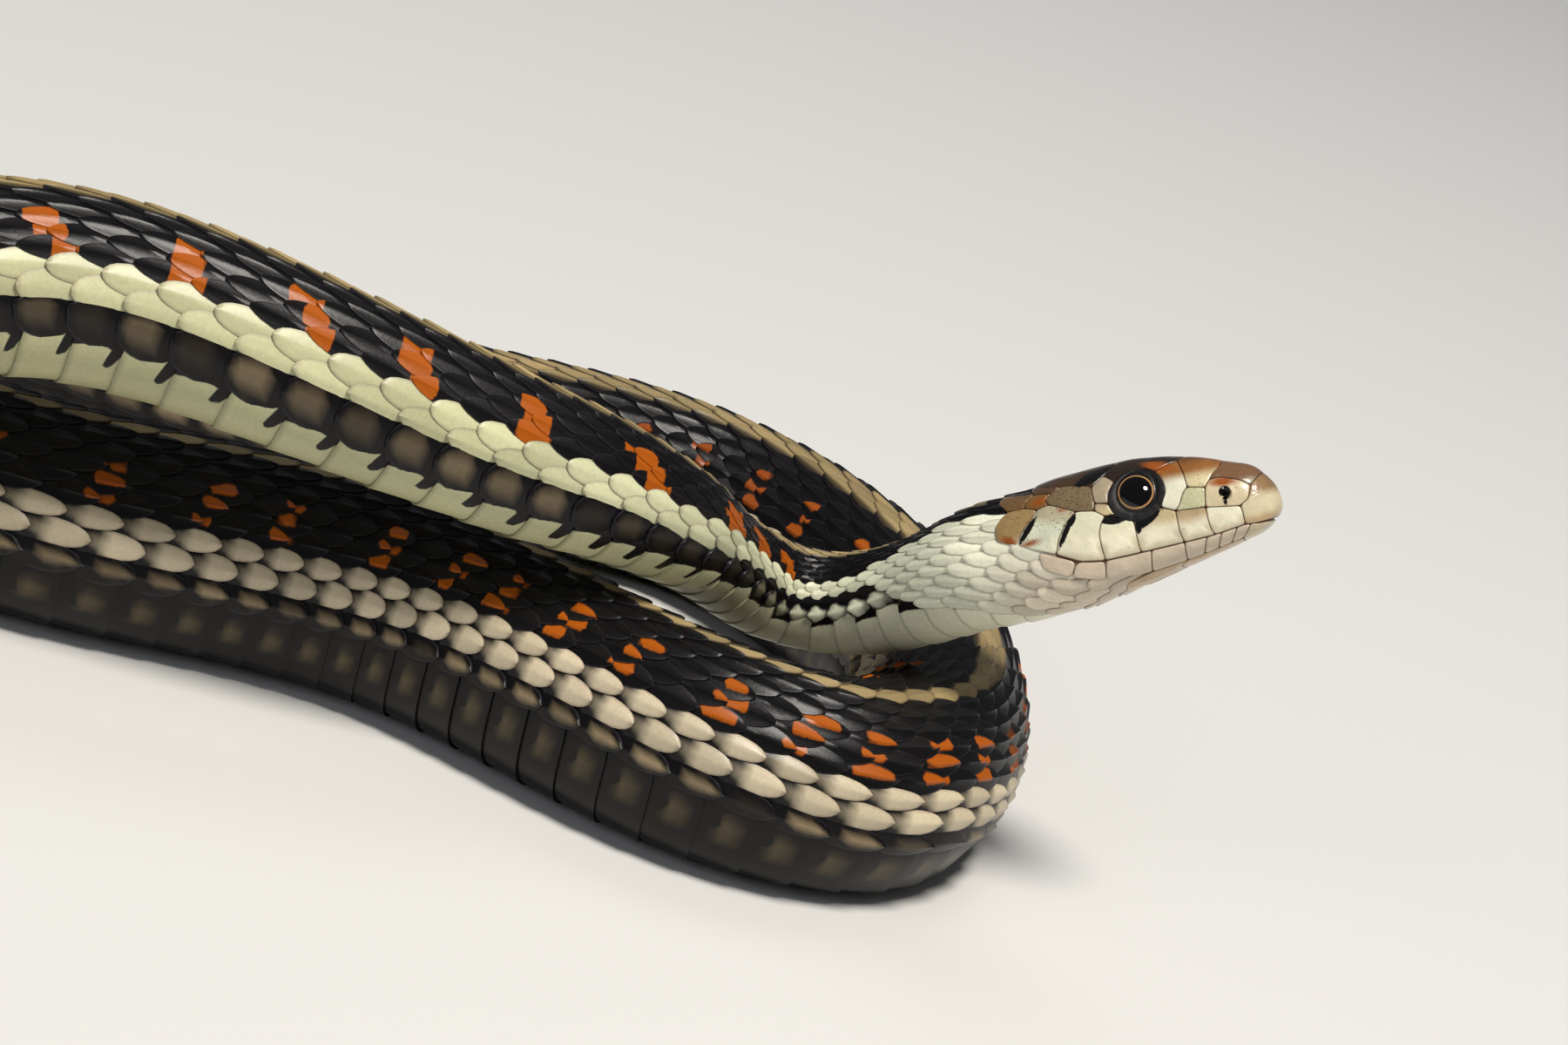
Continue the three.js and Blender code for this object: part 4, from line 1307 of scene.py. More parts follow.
@dataclass
class Skin:
    """The skin under the scales, from the snout to the tip of the tail."""

    form: SnakeForm
    inset: float = 0.42
    head_inset: float = 0.16
    columns: int = 96
    ring_step: float = 0.8
    head_step: float = 0.3
    strips: int = 12
    full_girth: float = 7.0
    nostril: tuple[float, float] = (20.5, 1.9)
    eye_dent: float = 0.9
    eye_reach: tuple[float, float] = (2.5, 1.9)
    nostril_dent: float = 0.8
    nostril_reach: tuple[float, float] = (1.4, 0.8)

    def build(self, material: Material, paint: "Markings") -> Piece:
        """Makes the skin.

        Args:
            material: Its finish.
            paint: The animal's markings.

        Returns:
            The mesh object.
        """
        head = self.form.head
        length = self.form.body.length
        turn = np.linspace(88, 10, 14)
        snout = head.round_start + head.snout_round * np.sin(np.radians(turn))
        x = np.concatenate([snout, np.arange(head.round_start, 0.2, -self.head_step)])
        s = np.concatenate([-x, np.arange(0, length - 0.3, self.ring_step), [length - 0.1]])
        arcs = [*self.form.arcs, *(2 - self.form.arcs[-2::-1])]
        turns = [*self.form.turns, *(360 - self.form.turns[-2::-1])]
        degrees = np.interp(np.linspace(0, 2, self.columns + 1)[:-1], arcs, turns)
        grid_s, grid_d = np.meshgrid(s, degrees, indexing="ij")
        size = np.clip(self.form.body.girth(np.maximum(grid_s, 0))[0] / self.full_girth, 0.2, 1)
        inset = np.where(grid_s < -4, self.head_inset, self.inset * size)
        body = self.form.surface(grid_s, grid_d, -inset)
        local = head.point(np.maximum(-grid_s, 0), grid_d)
        local = local - head.normal(local) * self.inset_of(local, grid_s)[..., None]
        points = np.where((grid_s < -1)[..., None], self.form.from_head(local), body)
        rings, columns = grid_s.shape
        index = np.arange(rings * columns).reshape(rings, columns)
        right = np.roll(index, -1, axis=1)
        faces = halves(index[:-1], right[:-1], right[1:], index[1:])
        tip = np.array([head.length - self.head_inset, 0, head.forms[2](np.array(head.length))])
        ends = np.array([self.form.from_head(tip), self.form.body.sample(np.array(length))])
        first = np.full(columns, rings * columns)
        caps = np.concatenate([
            np.column_stack([first, right[0], index[0]]), np.column_stack([first + 1, index[-1], right[-1]]),
        ])
        points = np.concatenate([points.reshape(-1, 3), ends])
        away = np.append(grid_s.ravel(), [-head.length, length])
        ground = paint.skin(away, np.append(grid_d.ravel(), [90, 0]))
        spots = self.unwrap(rings, columns, len(caps))
        faces = np.concatenate([faces, caps])
        LOG.info("skin: %d triangles", len(faces))
        return make_mesh("skin", points, faces, Paint(ground, ground, 0 * ground), spots, material, 180.0)

    def inset_of(self, local: Array, s: Array) -> Array:
        """Gives how deep the skin lies under the head's surface, deepest at eyes and nostrils.

        Args:
            local: Points on the head's surface.
            s: Their distances behind the nape.

        Returns:
            The depths.
        """
        side = local * np.array([1, 0, 1])
        eye = np.linalg.norm(side - np.array(self.form.head.eye_centre) * np.array([1, 0, 1]), axis=-1)
        nostril = np.linalg.norm(side - np.array([self.nostril[0], 0, self.nostril[1]]), axis=-1)
        dent = self.eye_dent * smooth(*self.eye_reach, eye) * (np.abs(local[..., 1]) > 2.0)
        dent = dent + self.nostril_dent * smooth(*self.nostril_reach, nostril)
        return self.head_inset + dent + (self.inset - self.head_inset) * smooth(-8, -2, s)

    def unwrap(self, rings: int, columns: int, caps: int) -> Array:
        """Lays the skin out on a square in strips for baking.

        Args:
            rings: Rings along the body.
            columns: Points of each ring.
            caps: Triangles of the two ends.

        Returns:
            The place of each corner of each face.
        """
        per = int(np.ceil((rings - 1) / self.strips))
        band = np.repeat(np.arange(rings - 1), columns)
        column = np.tile(np.arange(columns), rings - 1)
        strip = band // per
        inside = band - strip * per
        high = 0.96 / self.strips

        def spot(step: int, turn: int) -> Array:
            """Gives a corner's place for a step along and a turn round."""
            u = 0.01 + 0.94 * (inside + step) / per
            v = (strip + 0.02) / self.strips + high * (column + turn) / columns
            return np.column_stack([u, v])

        corner = [spot(0, 0), spot(0, 1), spot(1, 1), spot(1, 0)]
        first = np.stack([corner[0], corner[1], corner[2]], axis=1)
        second = np.stack([corner[0], corner[2], corner[3]], axis=1)
        k = np.arange(caps)
        turn = 2 * np.pi * k / (caps / 2)
        middle = np.where(k < caps / 2, 0.25, 0.75)
        hub = np.column_stack([np.full(caps, 0.975), middle])
        fan = np.stack([hub, *(
            hub + 0.015 * np.column_stack([np.cos(at), np.sin(at)]) for at in (turn, turn + 4 * np.pi / caps)
        )], axis=1)
        return np.concatenate([first, second, fan]).reshape(-1, 2)


@dataclass(frozen=True)
class Patch:
    """A patch of colour on the head: an ellipse seen from the side, on some of the plates."""

    plates: tuple[str, ...]
    x: float
    z: float
    half_x: float
    half_z: float
    turn: float = 0.0

    def depth(self, x: Array, z: Array) -> Array:
        """Tells how far inside the patch points are, in millimetres.

        Args:
            x: Their distances before the nape.
            z: Their heights in the head's frame.

        Returns:
            The depths.
        """
        cosine, sine = np.cos(np.radians(self.turn)), np.sin(np.radians(self.turn))
        u = ((x - self.x) * cosine + (z - self.z) * sine) / self.half_x
        v = (-(x - self.x) * sine + (z - self.z) * cosine) / self.half_z
        return (1 - np.hypot(u, v)) * min(self.half_x, self.half_z)


BLACK_PATCHES = (
    Patch(("lip_4", "postocular_lower"), 11.4, 1.6, 1.15, 0.45, -6),
    Patch(("lip_3",), 14.05, 1.0, 1.35, 0.42, 28),
    Patch(("lip_3",), 13.25, 0.55, 0.28, 0.6, 0),
    Patch(("lip_5",), 7.55, 1.4, 1.75, 0.25, 58),
    Patch(("lip_5",), 8.1, 2.2, 0.65, 0.34, 58),
    Patch(("lip_6", "lip_7"), 4.35, 2.1, 1.4, 0.28, 50),
    Patch(("postocular_upper", "temporal_front", "parietal"), 10.0, 5.4, 1.7, 0.5, 18),
    Patch(("temporal_front", "temporal_top"), 8.3, 5.2, 1.6, 0.22, -6),
    Patch(("temporal_back",), 3.6, 5.3, 2.6, 0.3, -4),
    Patch(("nasal",), 20.5, 2.0, 0.5, 0.5),
    Patch(("nasal",), 20.4, 1.4, 0.2, 0.6, 8),
)
RUST_PATCHES = (
    Patch(("supraocular", "preocular"), 15.3, 5.15, 1.7, 0.5, -22),
    Patch(("nasal",), 20.4, 2.85, 1.4, 0.5, -8),
    Patch(("lip_7",), 2.6, 1.5, 1.0, 0.5, -25),
    Patch(("lip_6",), 4.4, 1.0, 1.3, 0.35, 5),
    Patch(("lip_6",), 7.4, 3.2, 0.6, 0.25, -10),
    Patch(("temporal_low",), 5.4, 4.2, 0.8, 0.4, 10),
)

# How much plates are speckled; the others are clear.
SPECKLED = {
    "loreal": 0.4, "lip_2": 0.5, "lip_3": 0.4, "lip_6": 0.45, "lip_7": 0.35, "nasal": 0.2,
    "prefrontal": 0.3, "temporal_front": 0.55, "temporal_low": 0.4, "temporal_back": 0.5,
    "temporal_top": 0.5,
}


@dataclass(frozen=True)
class Markings:
    """The animal's colours, as the light that each kind of scale gives back."""

    form: SnakeForm
    black: str = "#0a080a"
    orange: str = "#a2500a"
    dull_and_shaded_orange: str = "#6e3110"
    blob: str = "#84745a"
    skin_dark: str = "#0d0b0c"
    skin_lip: str = "#6b4a38"
    cream_green: str = "#ced2ba"
    chin: str = "#c9b69f"
    seam: str = "#5a3a2a"
    rust: str = "#8f4a18"
    mark_rows: tuple[int, int] = (4, 6)
    mark_gap: float = 2.1
    mark_slant: float = 0.14

    def along(self, s: Array, *stops: tuple[float, str]) -> Array:
        """Mixes colours along the body, each given at a distance behind the nape.

        Args:
            s: Distances behind the nape.
            stops: Distances and the colours there.

        Returns:
            The colours.
        """
        places = [place for place, _ in stops]
        colours = np.array([tone(code) for _, code in stops])
        return np.stack([np.interp(s, places, colours[:, k]) for k in range(3)], axis=-1)

    def scales(self, listed: dict[str, Array], s: Array, grid: Array, seed: int, tail: bool) -> Paint:
        """Colours the scales of the back and sides.

        Args:
            listed: For each scale its row, its count along the body and its distance.
            s: Distance behind the nape of each point of each scale.
            grid: Place of each point along and across the scale.
            seed: Starts the chance variation.
            tail: True on the tail, whose rows count double.

        Returns:
            The paint; its first mark is how near an edge or keel each point is, and the finish paints a
            highlight line on the edges.
        """
        chance = np.random.default_rng(seed)
        a, b = grid
        signed = listed["row"][:, None] * (2 if tail else 1)
        row = np.abs(signed)
        seen = listed["seen"][:, None]
        to_back = -np.sign(signed) * b[None]
        pale_from = np.interp(seen, (-6, 2, 8, 14), (3.4, 3.4, 5.4, 6.5))
        pale_to = np.interp(seen, (6, 9), (13.0, 8.5))
        pale = ((row > pale_from) & (row < pale_to))[..., None]
        low = ((row > 9.5) | ((row > 8.5) & (seen < 9))) & ~pale[..., 0]
        narrow = smooth(225, 250, seen) * smooth(360, 350, seen)
        striped = np.where(row == 1, smooth(-0.35, 0.15, to_back - 1.1 * narrow), row == 0)[..., None]
        striped = striped * smooth(-3.0, 3.0, seen)[..., None]
        ground = np.broadcast_to(tone(self.black), (*s.shape, 3))
        stripe = self.along(s, (20, "#9c8a62"), (150, "#a18b5c"), (250, "#93805a"), (700, "#8d7b56"))
        ground = ground + (stripe - ground) * striped
        cream = self.along(
            s, (-6, "#dedcc6"), (6, "#dcdec4"), (30, "#cfd0ae"), (60, "#b9b890"), (150, "#b6b28c"),
            (230, "#c2b49a"), (720, "#b9ad90"),
        )
        chin = (smooth(2, -6, s) * smooth(6.5, 9.5, row))[..., None]
        cream = cream + (tone(self.chin) - cream) * 0.7 * chin
        rimmed = np.maximum(smooth(0.72, 1.0, np.abs(b)), smooth(0.9, 1.0, a))[None, :, None]
        cream = cream + (tone("#7d6c5c") - cream) * 0.45 * rimmed
        ground = ground * (1 - 0.5 * striped * rimmed)
        # Painted shade: behind the front body, each pale scale keeps the dark ground at its root, as a
        # shaded gap under the scale before it.
        clear_of_root_shade = (smooth(0.36, 0.5, a - 0.1 * b ** 2)[None] + smooth(240, 190, seen)).clip(0, 1)[..., None]
        ground = np.where(pale, cream * clear_of_root_shade + ground * (1 - clear_of_root_shade), ground)
        near_head = smooth(34, 16, seen)[..., None]
        half_size = 0.75 + 0.2 * near_head[..., 0], 0.26 + 0.08 * near_head[..., 0]
        shape = 1 - np.hypot(b / half_size[0], (a - 0.7) / half_size[1])
        usual = np.interp(seen, (60, 150, 230), (0.25, 0.3, 0.85))
        strength = np.clip(usual + 0.3 * chance.standard_normal(seen.shape), 0.05, 1)[..., None]
        strength = strength + (1 - strength) * near_head
        spot = smooth(-0.05, 0.35, shape)[..., None] * low[..., None] * strength
        ground = ground + (tone(self.blob) + (cream - tone(self.blob)) * near_head - ground) * spot
        ground = ground * np.clip(1 + 0.12 * chance.standard_normal(seen.shape), 0.65, 1.3)[..., None]
        # Partly painted shade: the orange is dimmer on the loop, where it lies in the front body's shadow;
        # on the rear the orange is duller.
        dull_and_shade = smooth(170, 230, seen) * smooth(290, 250, seen) + smooth(370, 400, seen)
        patch = tone(self.orange) + (tone(self.dull_and_shaded_orange) - tone(self.orange)) * 0.6 * dull_and_shade[..., None]
        marks = np.zeros((*s.shape, 3))
        # First mark: the edges at one, where the finish paints a highlight line, and the keel at 0.55, which
        # gets none.
        keel = 0.55 * ((np.abs(b) < 0.1) & (a > 0.2))
        marks[..., 0] = np.maximum(np.maximum(np.abs(b) >= 0.999, a >= 0.999), keel)[None]
        marks[..., 1] = -1
        marks[..., 2] = -1 if tail else self.orange_depth(listed, s, to_back)
        return Paint(ground, np.broadcast_to(patch, ground.shape), marks)

    def orange_depth(self, listed: dict[str, Array], s: Array, to_back: Array) -> Array:
        """Tells how far inside an orange mark each point of each scale is, in millimetres.

        Each mark is a slanting file of scales, one in each row of the dark flank.

        Args:
            listed: For each scale its row, its count along the body and its distance.
            s: Distance behind the nape of each point of each scale.
            to_back: Place of each point across its scale, rising towards the back.

        Returns:
            The depths, below zero outside.
        """
        row = np.abs(listed["row"])
        depth = np.full(to_back.shape, -1.0)
        chance = np.random.default_rng(5)
        ends = self.form.count_at(np.array([24.0, self.form.body.vent - 15.0]))
        common = np.arange(ends[0], ends[1], self.mark_gap)
        # Rows are below zero on the right side. The photograph shows a length of each side.
        for sign, shown in ((-1, (40.0, 100.0)), (1, (298.0, 357.0))):
            middles = common + chance.uniform(-0.3, 0.3, len(common))
            places = self.form.at_count(middles)
            middles = middles[(places < shown[0]) | (places > shown[1])]
            photographed = [place for place in MARKS_SEEN if shown[0] < place < shown[1]]
            middles = np.sort(np.concatenate([middles, self.form.count_at(np.array(photographed))]))
            wanted = middles[None] + self.mark_slant * (4.5 - row[:, None])
            here = self.form.count_at(s)
            nearest = np.argmin(np.abs(listed["count"][:, None] + 1.0 - wanted), axis=1)
            along = (here - wanted[np.arange(len(row)), nearest][:, None]) * self.form.pitch(s)
            front = (listed["seen"] < 130)[:, None]
            on = (np.sign(listed["row"]) == sign) & (row >= self.mark_rows[0]) & (row <= self.mark_rows[1])
            skewed = np.sin(2.4 * nearest + 1.7 * row)[:, None]
            bar_ends = 1.15 + 0.25 * skewed - np.abs(along - 0.25 * skewed)
            bar = np.minimum(bar_ends, 0.38 - 0.6 * np.abs(to_back - 0.3))
            patch_ends = 1.35 + 0.2 * skewed - np.abs(along - 0.4 * skewed)
            patch = np.minimum(patch_ends, 0.7 - 0.55 * np.abs(to_back))
            depth = np.where(on[:, None], np.where(front, patch, bar), depth)
        return depth

    def scutes(self, count: Array, s: Array, a: Array, b: Array, reach: Array) -> Paint:
        """Colours the belly scutes.

        Args:
            count: Number of each scute.
            s: Distance behind the nape of each point.
            a: Place of each point along its scute.
            b: Place of each point across it.
            reach: Angle from the belly's middle to each scute's end.

        Returns:
            The paint; its first mark is how near an edge each point is, where the finish paints a highlight
            line.
        """
        chance = np.random.default_rng(11)
        ground = self.along(
            s, (0, "#dedcc2"), (18, "#d4d3b2"), (40, "#bcbb94"), (110, "#b0ad86"), (190, "#837e5f"),
            (245, "#0f0c0b"), (720, "#0f0c0b"),
        )
        rimmed = smooth(0.9, 1.0, a)[None, :, None]
        ground = ground + (ground * 0.62 - ground) * rimmed
        ground = ground * (1 + 0.05 * chance.standard_normal(len(count)))[:, None, None]
        girth = self.form.body.girth(np.maximum(s, 0))[0]
        inward = (1 - np.abs(b))[None] * reach * np.radians(1) * girth - 0.7
        ahead = (a[None] - 0.2) * Scutes.length_in_pitches * self.form.pitch(s)
        length = 2.7 + 0.3 * chance.uniform(-1, 1, len(count))[:, None]
        notch = np.minimum(0.8 - 0.12 * inward - np.abs(ahead - 0.25 - 0.3 * inward), length - inward)
        band = 0.55 + 0.3 * np.sin(3 * count)[:, None] - inward
        strong = smooth(22, 50, s)
        marks = np.zeros((*s.shape, 3))
        # First mark: the edges of the scutes by the head, where the finish paints a highlight line.
        marks[..., 0] = np.maximum(np.abs(b) >= 0.999, a >= 0.999)[None] * smooth(0.3, 0, strong)
        marks[..., 1] = np.maximum(notch, band) - 0.75 * (1 - strong)
        marks[..., 2] = -1
        light = smooth(0.1, 0.9, 1 - np.hypot((inward - 2.2) / 1.7, (a[None] - 0.62) / 0.3))
        light = light * smooth(200, 235, s)
        ground = ground + (tone("#64573d") - ground) * (0.7 * light)[..., None]
        return Paint(ground, ground, marks)

    def skin(self, s: Array, degrees: Array) -> Array:
        """Colours the skin under the scales.

        Args:
            s: Distances behind the nape.
            degrees: Angles from the back.

        Returns:
            The colours.
        """
        away = np.abs((degrees + 180) % 360 - 180)
        base = np.tile(tone(self.skin_dark), (len(s), 1))
        under = (smooth(-4, 4, away - self.form.belly_edge(s)) * smooth(200, 150, s))[:, None]
        base = base + (tone("#5d5c42") - base) * under
        flank = (smooth(40, 48, away) * smooth(14, 7, s))[:, None]
        base = base + (tone("#5f5442") - base) * flank
        head = (smooth(30, 50, away) * smooth(2, -4, s))[:, None]
        base = base + (tone(self.skin_lip) - base) * head
        mouth = ease(*rows_of(MOUTH_LINE))(-s)
        chin = (smooth(1, 5, away - mouth) * smooth(2, -2, s))[:, None]
        return base + (tone("#a58e74") - base) * chin

    def plate(self, name: str, points: Array, edge: Array) -> Paint:
        """Colours one plate of the head.

        Args:
            name: Name of the plate.
            points: Its points in the head's frame, on the right side.
            edge: Distance of each point from its border.

        Returns:
            The paint; its first mark is how much the point is speckled.
        """
        x, _, z = points.T
        whole = np.ones(len(x))
        ground = np.tile(tone(self.cream_green), (len(x), 1))

        def blend(code: str, share: Array | float, *plates: str) -> None:
            """Mixes a colour in by a share for each point, on plates whose names start so."""
            if not plates or name.startswith(plates):
                ground[:] += (tone(code) - ground) * np.asarray(share)[..., None]

        blend("#e2dcc2", smooth(1.6, 0.2, z) * smooth(4, 8, x), "lip_")
        blend(self.chin, 0.9, "lower_lip", "mental", "chin")
        # Painted shade: the chin plates, cream in life, are darkened to light brown as in the jaw's shadow.
        blend("#b3946a", 0.8, "chin")
        blend("#a08255", 0.8 * smooth(-0.3, 0.8, z + 0.1 * np.sin(3 * x)), "lip_2")
        blend("#b39868", 0.75 * smooth(-0.1, 1.0, z + 0.1 * np.sin(2.5 * x)), "lip_3")
        blend("#d6cba8", 0.4 * smooth(0.1, 0.9, z), "lip_4", "lip_5")
        blend("#9b8d6c", 0.75 * smooth(1.9, 3.0, z + 0.25 * (x - 6)), "lip_6")
        blend("#8f6d38", 0.9 * smooth(0.7, 2.0, z), "lip_7")
        # Painted shade: the upper lips darken to tan along their lower edges, by the mouth.
        blend("#a99878", 0.6 * smooth(0.9, 0.1, edge) * smooth(0.3, -0.7, z), "lip_")
        blend("#67502f", 0.92, "temporal")
        blend("#7a5220", 0.8, "temporal_low")
        blend("#6f4b24", 0.7, "temporal_back")
        blend("#4a2e18", 0.8, "temporal_top")
        blend("#97836a", 0.85, "postocular")
        blend("#cdb98c", 0.7 * smooth(3.2, 2.2, z), "postocular_lower")
        blend("#2a1f18", 1.0, "supraocular", "frontal", "parietal")
        blend("#4d3623", 0.6 * smooth(11, 8, x), "parietal")
        blend("#bab78f", 0.85, "loreal")
        blend("#dcd8c0", 0.8, "preocular")
        blend("#cbbd92", 0.9, "prefrontal")
        blend("#8a5a2c", smooth(3.4, 4.4, z), "prefrontal", "preocular")
        blend("#6b4526", 0.95 * smooth(2.0, 2.9, z), "internasal")
        blend("#3d2415", 0.75 * smooth(4.6, 5.5, z), "prefrontal", "internasal")
        blend("#cdb893", 0.8, "nasal")
        blend("#c9bb9a", 0.85, "rostral", "mental")
        blend("#7d5a35", 0.9 * smooth(0.8, 1.8, z), "rostral")
        blend("#b08c62", 0.7 * smooth(0.0, -0.8, z), "rostral")
        blend(self.seam, 0.6 * smooth(0.08, 0.0, edge))
        marks = np.column_stack([whole * SPECKLED.get(name, 0.0), *(
            np.max([whole * -5.0, *(patch.depth(x, z) for patch in patches if name in patch.plates)], axis=0)
            for patches in (BLACK_PATCHES, RUST_PATCHES)
        )])
        marks[:, 0] *= smooth(0.3, 1.6, z) if name.startswith("lip_") else 1
        return Paint(ground, np.tile(tone(self.rust), (len(x), 1)), marks)


def add_node(
    tree: bpy.types.NodeTree, kind: str, settings: dict | None = None, links: dict | None = None,
) -> bpy.types.Node:
    """Adds one node with its settings and links.

    Args:
        tree: The material's node tree.
        kind: Type name of the node.
        settings: Properties by name, and values of input sockets by index or name in brackets.
        links: For each input socket, by index or name, the output socket that feeds it.

    Returns:
        The node.
    """
    node = tree.nodes.new(kind)
    for key, value in (settings or {}).items():
        if isinstance(key, int) or key.startswith("["):
            node.inputs[key if isinstance(key, int) else key[1:-1]].default_value = value
        else:
            setattr(node, key, value)
    for key, source in (links or {}).items():
        tree.links.new(source, node.inputs[key])
    return node


@dataclass(frozen=True)
class Finish:
    """A finish made of a list of nodes."""

    name: str = "finish"

    def material(self, steps: tuple) -> Material:
        """Makes the material.

        Args:
            steps: For each node its label, type, settings and links; a link gives the label of
                an earlier node and its output.

        Returns:
            The material, whose surface is the last node.
        """
        made = bpy.data.materials.new(self.name)
        made.use_nodes = True
        tree = made.node_tree
        tree.nodes.clear()
        nodes = {}
        for label, kind, settings, links in steps:
            sockets = {key: nodes[source].outputs[output] for key, (source, output) in links.items()}
            nodes[label] = add_node(tree, kind, settings, sockets)
        add_node(tree, "ShaderNodeOutputMaterial", links={0: nodes[steps[-1][0]].outputs[0]})
        return made

    def layer(
        self, name: str, mark: str, ends: tuple[float, float], under: tuple[str, int], colour: str = "",
    ) -> tuple:
        """Lists the nodes that lay a colour over another where a painted field is above zero.

        Args:
            name: Label of the mixed colour.
            mark: Which of the painted marks is the field.
            ends: Where the colour begins to show and where it is full, in the field's unit.
            under: Label and output of the colour under it.
            colour: Hex code of the colour; without one it is the painted patch's own.

        Returns:
            The nodes, as steps of a material.
        """
        settings = {"data_type": "RGBA", **({7: (*linear(colour), 1)} if colour else {})}
        links = {0: (f"{name}_share", 0), 6: under}
        return (
            (f"{name}_depth", "ShaderNodeMath", {"operation": "ADD"},
             {0: ("mark", mark), 1: ("wobble", 0)}),
            (f"{name}_share", "ShaderNodeMapRange",
             {"interpolation_type": "SMOOTHSTEP", "[From Min]": ends[0], "[From Max]": ends[1]},
             {"Value": (f"{name}_depth", 0)}),
            (name, "ShaderNodeMix", settings, links if colour else {**links, 7: ("patch", "Color")}),
        )


# Nodes that read a point's paint and its place, used by each painted finish.
PAINT_NODES = (
    ("ground", "ShaderNodeAttribute", {"attribute_name": "ground"}, {}),
    ("patch", "ShaderNodeAttribute", {"attribute_name": "patch"}, {}),
    ("marks", "ShaderNodeAttribute", {"attribute_name": "marks"}, {}),
    ("mark", "ShaderNodeSeparateXYZ", {}, {0: ("marks", "Vector")}),
    ("place", "ShaderNodeTexCoord", {}, {}),
)


@dataclass(frozen=True)
class KeeledScaleHorn(Finish):
    """Thin horn of the back's scales: grown in ridges, and rubbed to a low gloss.

    The keel catches fine light lines and light skids along the flanks; the free edge has a fine painted
    highlight line.
    """

    name: str = "keeled_scale_horn"
    roughness: float = 0.36
    ior: float = 1.42
    painted_edge_glint: str = "#55535c"
    black: str = "#0a0809"
    grain_mm: float = 0.35

    def build(self) -> Material:
        """Makes the material."""
        return self.material((
            *PAINT_NODES,
            ("grain", "ShaderNodeTexNoise", {"[Scale]": 1 / (self.grain_mm * METRES), "[Detail]": 3.0},
             {"Vector": ("place", "Object")}),
            ("uneven", "ShaderNodeMath",
             {"operation": "MULTIPLY_ADD", 1: 0.3, 2: 0.85}, {0: ("grain", "Fac")}),
            ("wobble", "ShaderNodeMath",
             {"operation": "MULTIPLY_ADD", 1: 0.12, 2: -0.06}, {0: ("grain", "Fac")}),
            ("shaded", "ShaderNodeVectorMath", {"operation": "SCALE"},
             {0: ("ground", "Color"), "Scale": ("uneven", 0)}),
            # Painted highlight: a fine pale grey-blue line along the edges, where the first mark is high.
            ("edge", "ShaderNodeMapRange",
             {"interpolation_type": "SMOOTHSTEP", "[From Min]": 0.55, "[From Max]": 1.0, "[To Max]": 0.2},
             {"Value": ("mark", "X")}),
            ("rimmed", "ShaderNodeMix", {"data_type": "RGBA", 7: (*linear(self.painted_edge_glint), 1)},
             {0: ("edge", 0), 6: ("shaded", 0)}),
            *self.layer("patched", "Z", (0.0, 0.14), ("rimmed", 2)),
            *self.layer("inked", "Y", (0.0, 0.14), ("patched", 2), self.black),
            ("bump", "ShaderNodeBump", {"[Strength]": 0.25, "[Distance]": 0.05 * METRES},
             {"Height": ("grain", "Fac")}),
            ("horn", "ShaderNodeBsdfPrincipled",
             {"[Roughness]": self.roughness, "[IOR]": self.ior, "[Specular IOR Level]": 0.35},
             {"Base Color": ("inked", 2), "Normal": ("bump", 0)}),
        ))


@dataclass(frozen=True)
class SmoothPlateHorn(Finish):
    """Smooth horn of the head's plates: grown flat and polished, with a soft wet gloss."""

    name: str = "smooth_plate_horn"
    roughness: float = 0.24
    ior: float = 1.5
    black: str = "#0c0a0a"
    dust: str = "#3a2e24"
    speck_mm: float = 0.2
    cloud_mm: float = 1.5

    def build(self) -> Material:
        """Makes the material."""
        return self.material((
            *PAINT_NODES,
            ("fine", "ShaderNodeTexNoise", {"[Scale]": 1 / (self.speck_mm * METRES), "[Detail]": 4.0},
             {"Vector": ("place", "Object")}),
            ("cloud", "ShaderNodeTexNoise", {"[Scale]": 1 / (self.cloud_mm * METRES), "[Detail]": 2.0},
             {"Vector": ("place", "Object")}),
            ("uneven", "ShaderNodeMath",
             {"operation": "MULTIPLY_ADD", 1: 0.4, 2: 0.8}, {0: ("cloud", "Fac")}),
            ("shaded", "ShaderNodeVectorMath", {"operation": "SCALE"},
             {0: ("ground", "Color"), "Scale": ("uneven", 0)}),
            ("wobble", "ShaderNodeMath",
             {"operation": "MULTIPLY_ADD", 1: 0.14, 2: -0.07}, {0: ("fine", "Fac")}),
            *self.layer("patched", "Z", (-0.1, 0.35), ("shaded", 0)),
            ("both", "ShaderNodeMath", {"operation": "MULTIPLY_ADD", 1: 0.3},
             {0: ("cloud", "Fac"), 2: ("fine", "Fac")}),
            ("lumps", "ShaderNodeMath", {"operation": "MULTIPLY_ADD", 1: 6.0},
             {0: ("cloud", "Fac"), 2: ("fine", "Fac")}),
            ("dust", "ShaderNodeMath",
             {"operation": "MULTIPLY_ADD", 1: 0.25}, {0: ("mark", "X"), 2: ("both", 0)}),
            ("dust_share", "ShaderNodeMapRange",
             {"interpolation_type": "SMOOTHSTEP", "[From Min]": 0.80, "[From Max]": 1.0, "[To Max]": 0.7},
             {"Value": ("dust", 0)}),
            ("dusted", "ShaderNodeMix", {"data_type": "RGBA", 7: (*linear(self.dust), 1)},
             {0: ("dust_share", 0), 6: ("patched", 2)}),
            *self.layer("inked", "Y", (-0.02, 0.06), ("dusted", 2), self.black),
            ("bump", "ShaderNodeBump", {"[Strength]": 0.35, "[Distance]": 0.08 * METRES},
             {"Height": ("lumps", 0)}),
            ("horn", "ShaderNodeBsdfPrincipled",
             {"[Roughness]": self.roughness, "[IOR]": self.ior, "[Subsurface Weight]": 0.08,
              "[Subsurface Radius]": (1.0, 0.5, 0.3), "[Subsurface Scale]": 0.6 * METRES},
             {"Base Color": ("inked", 2), "Normal": ("bump", 0)}),
        ))


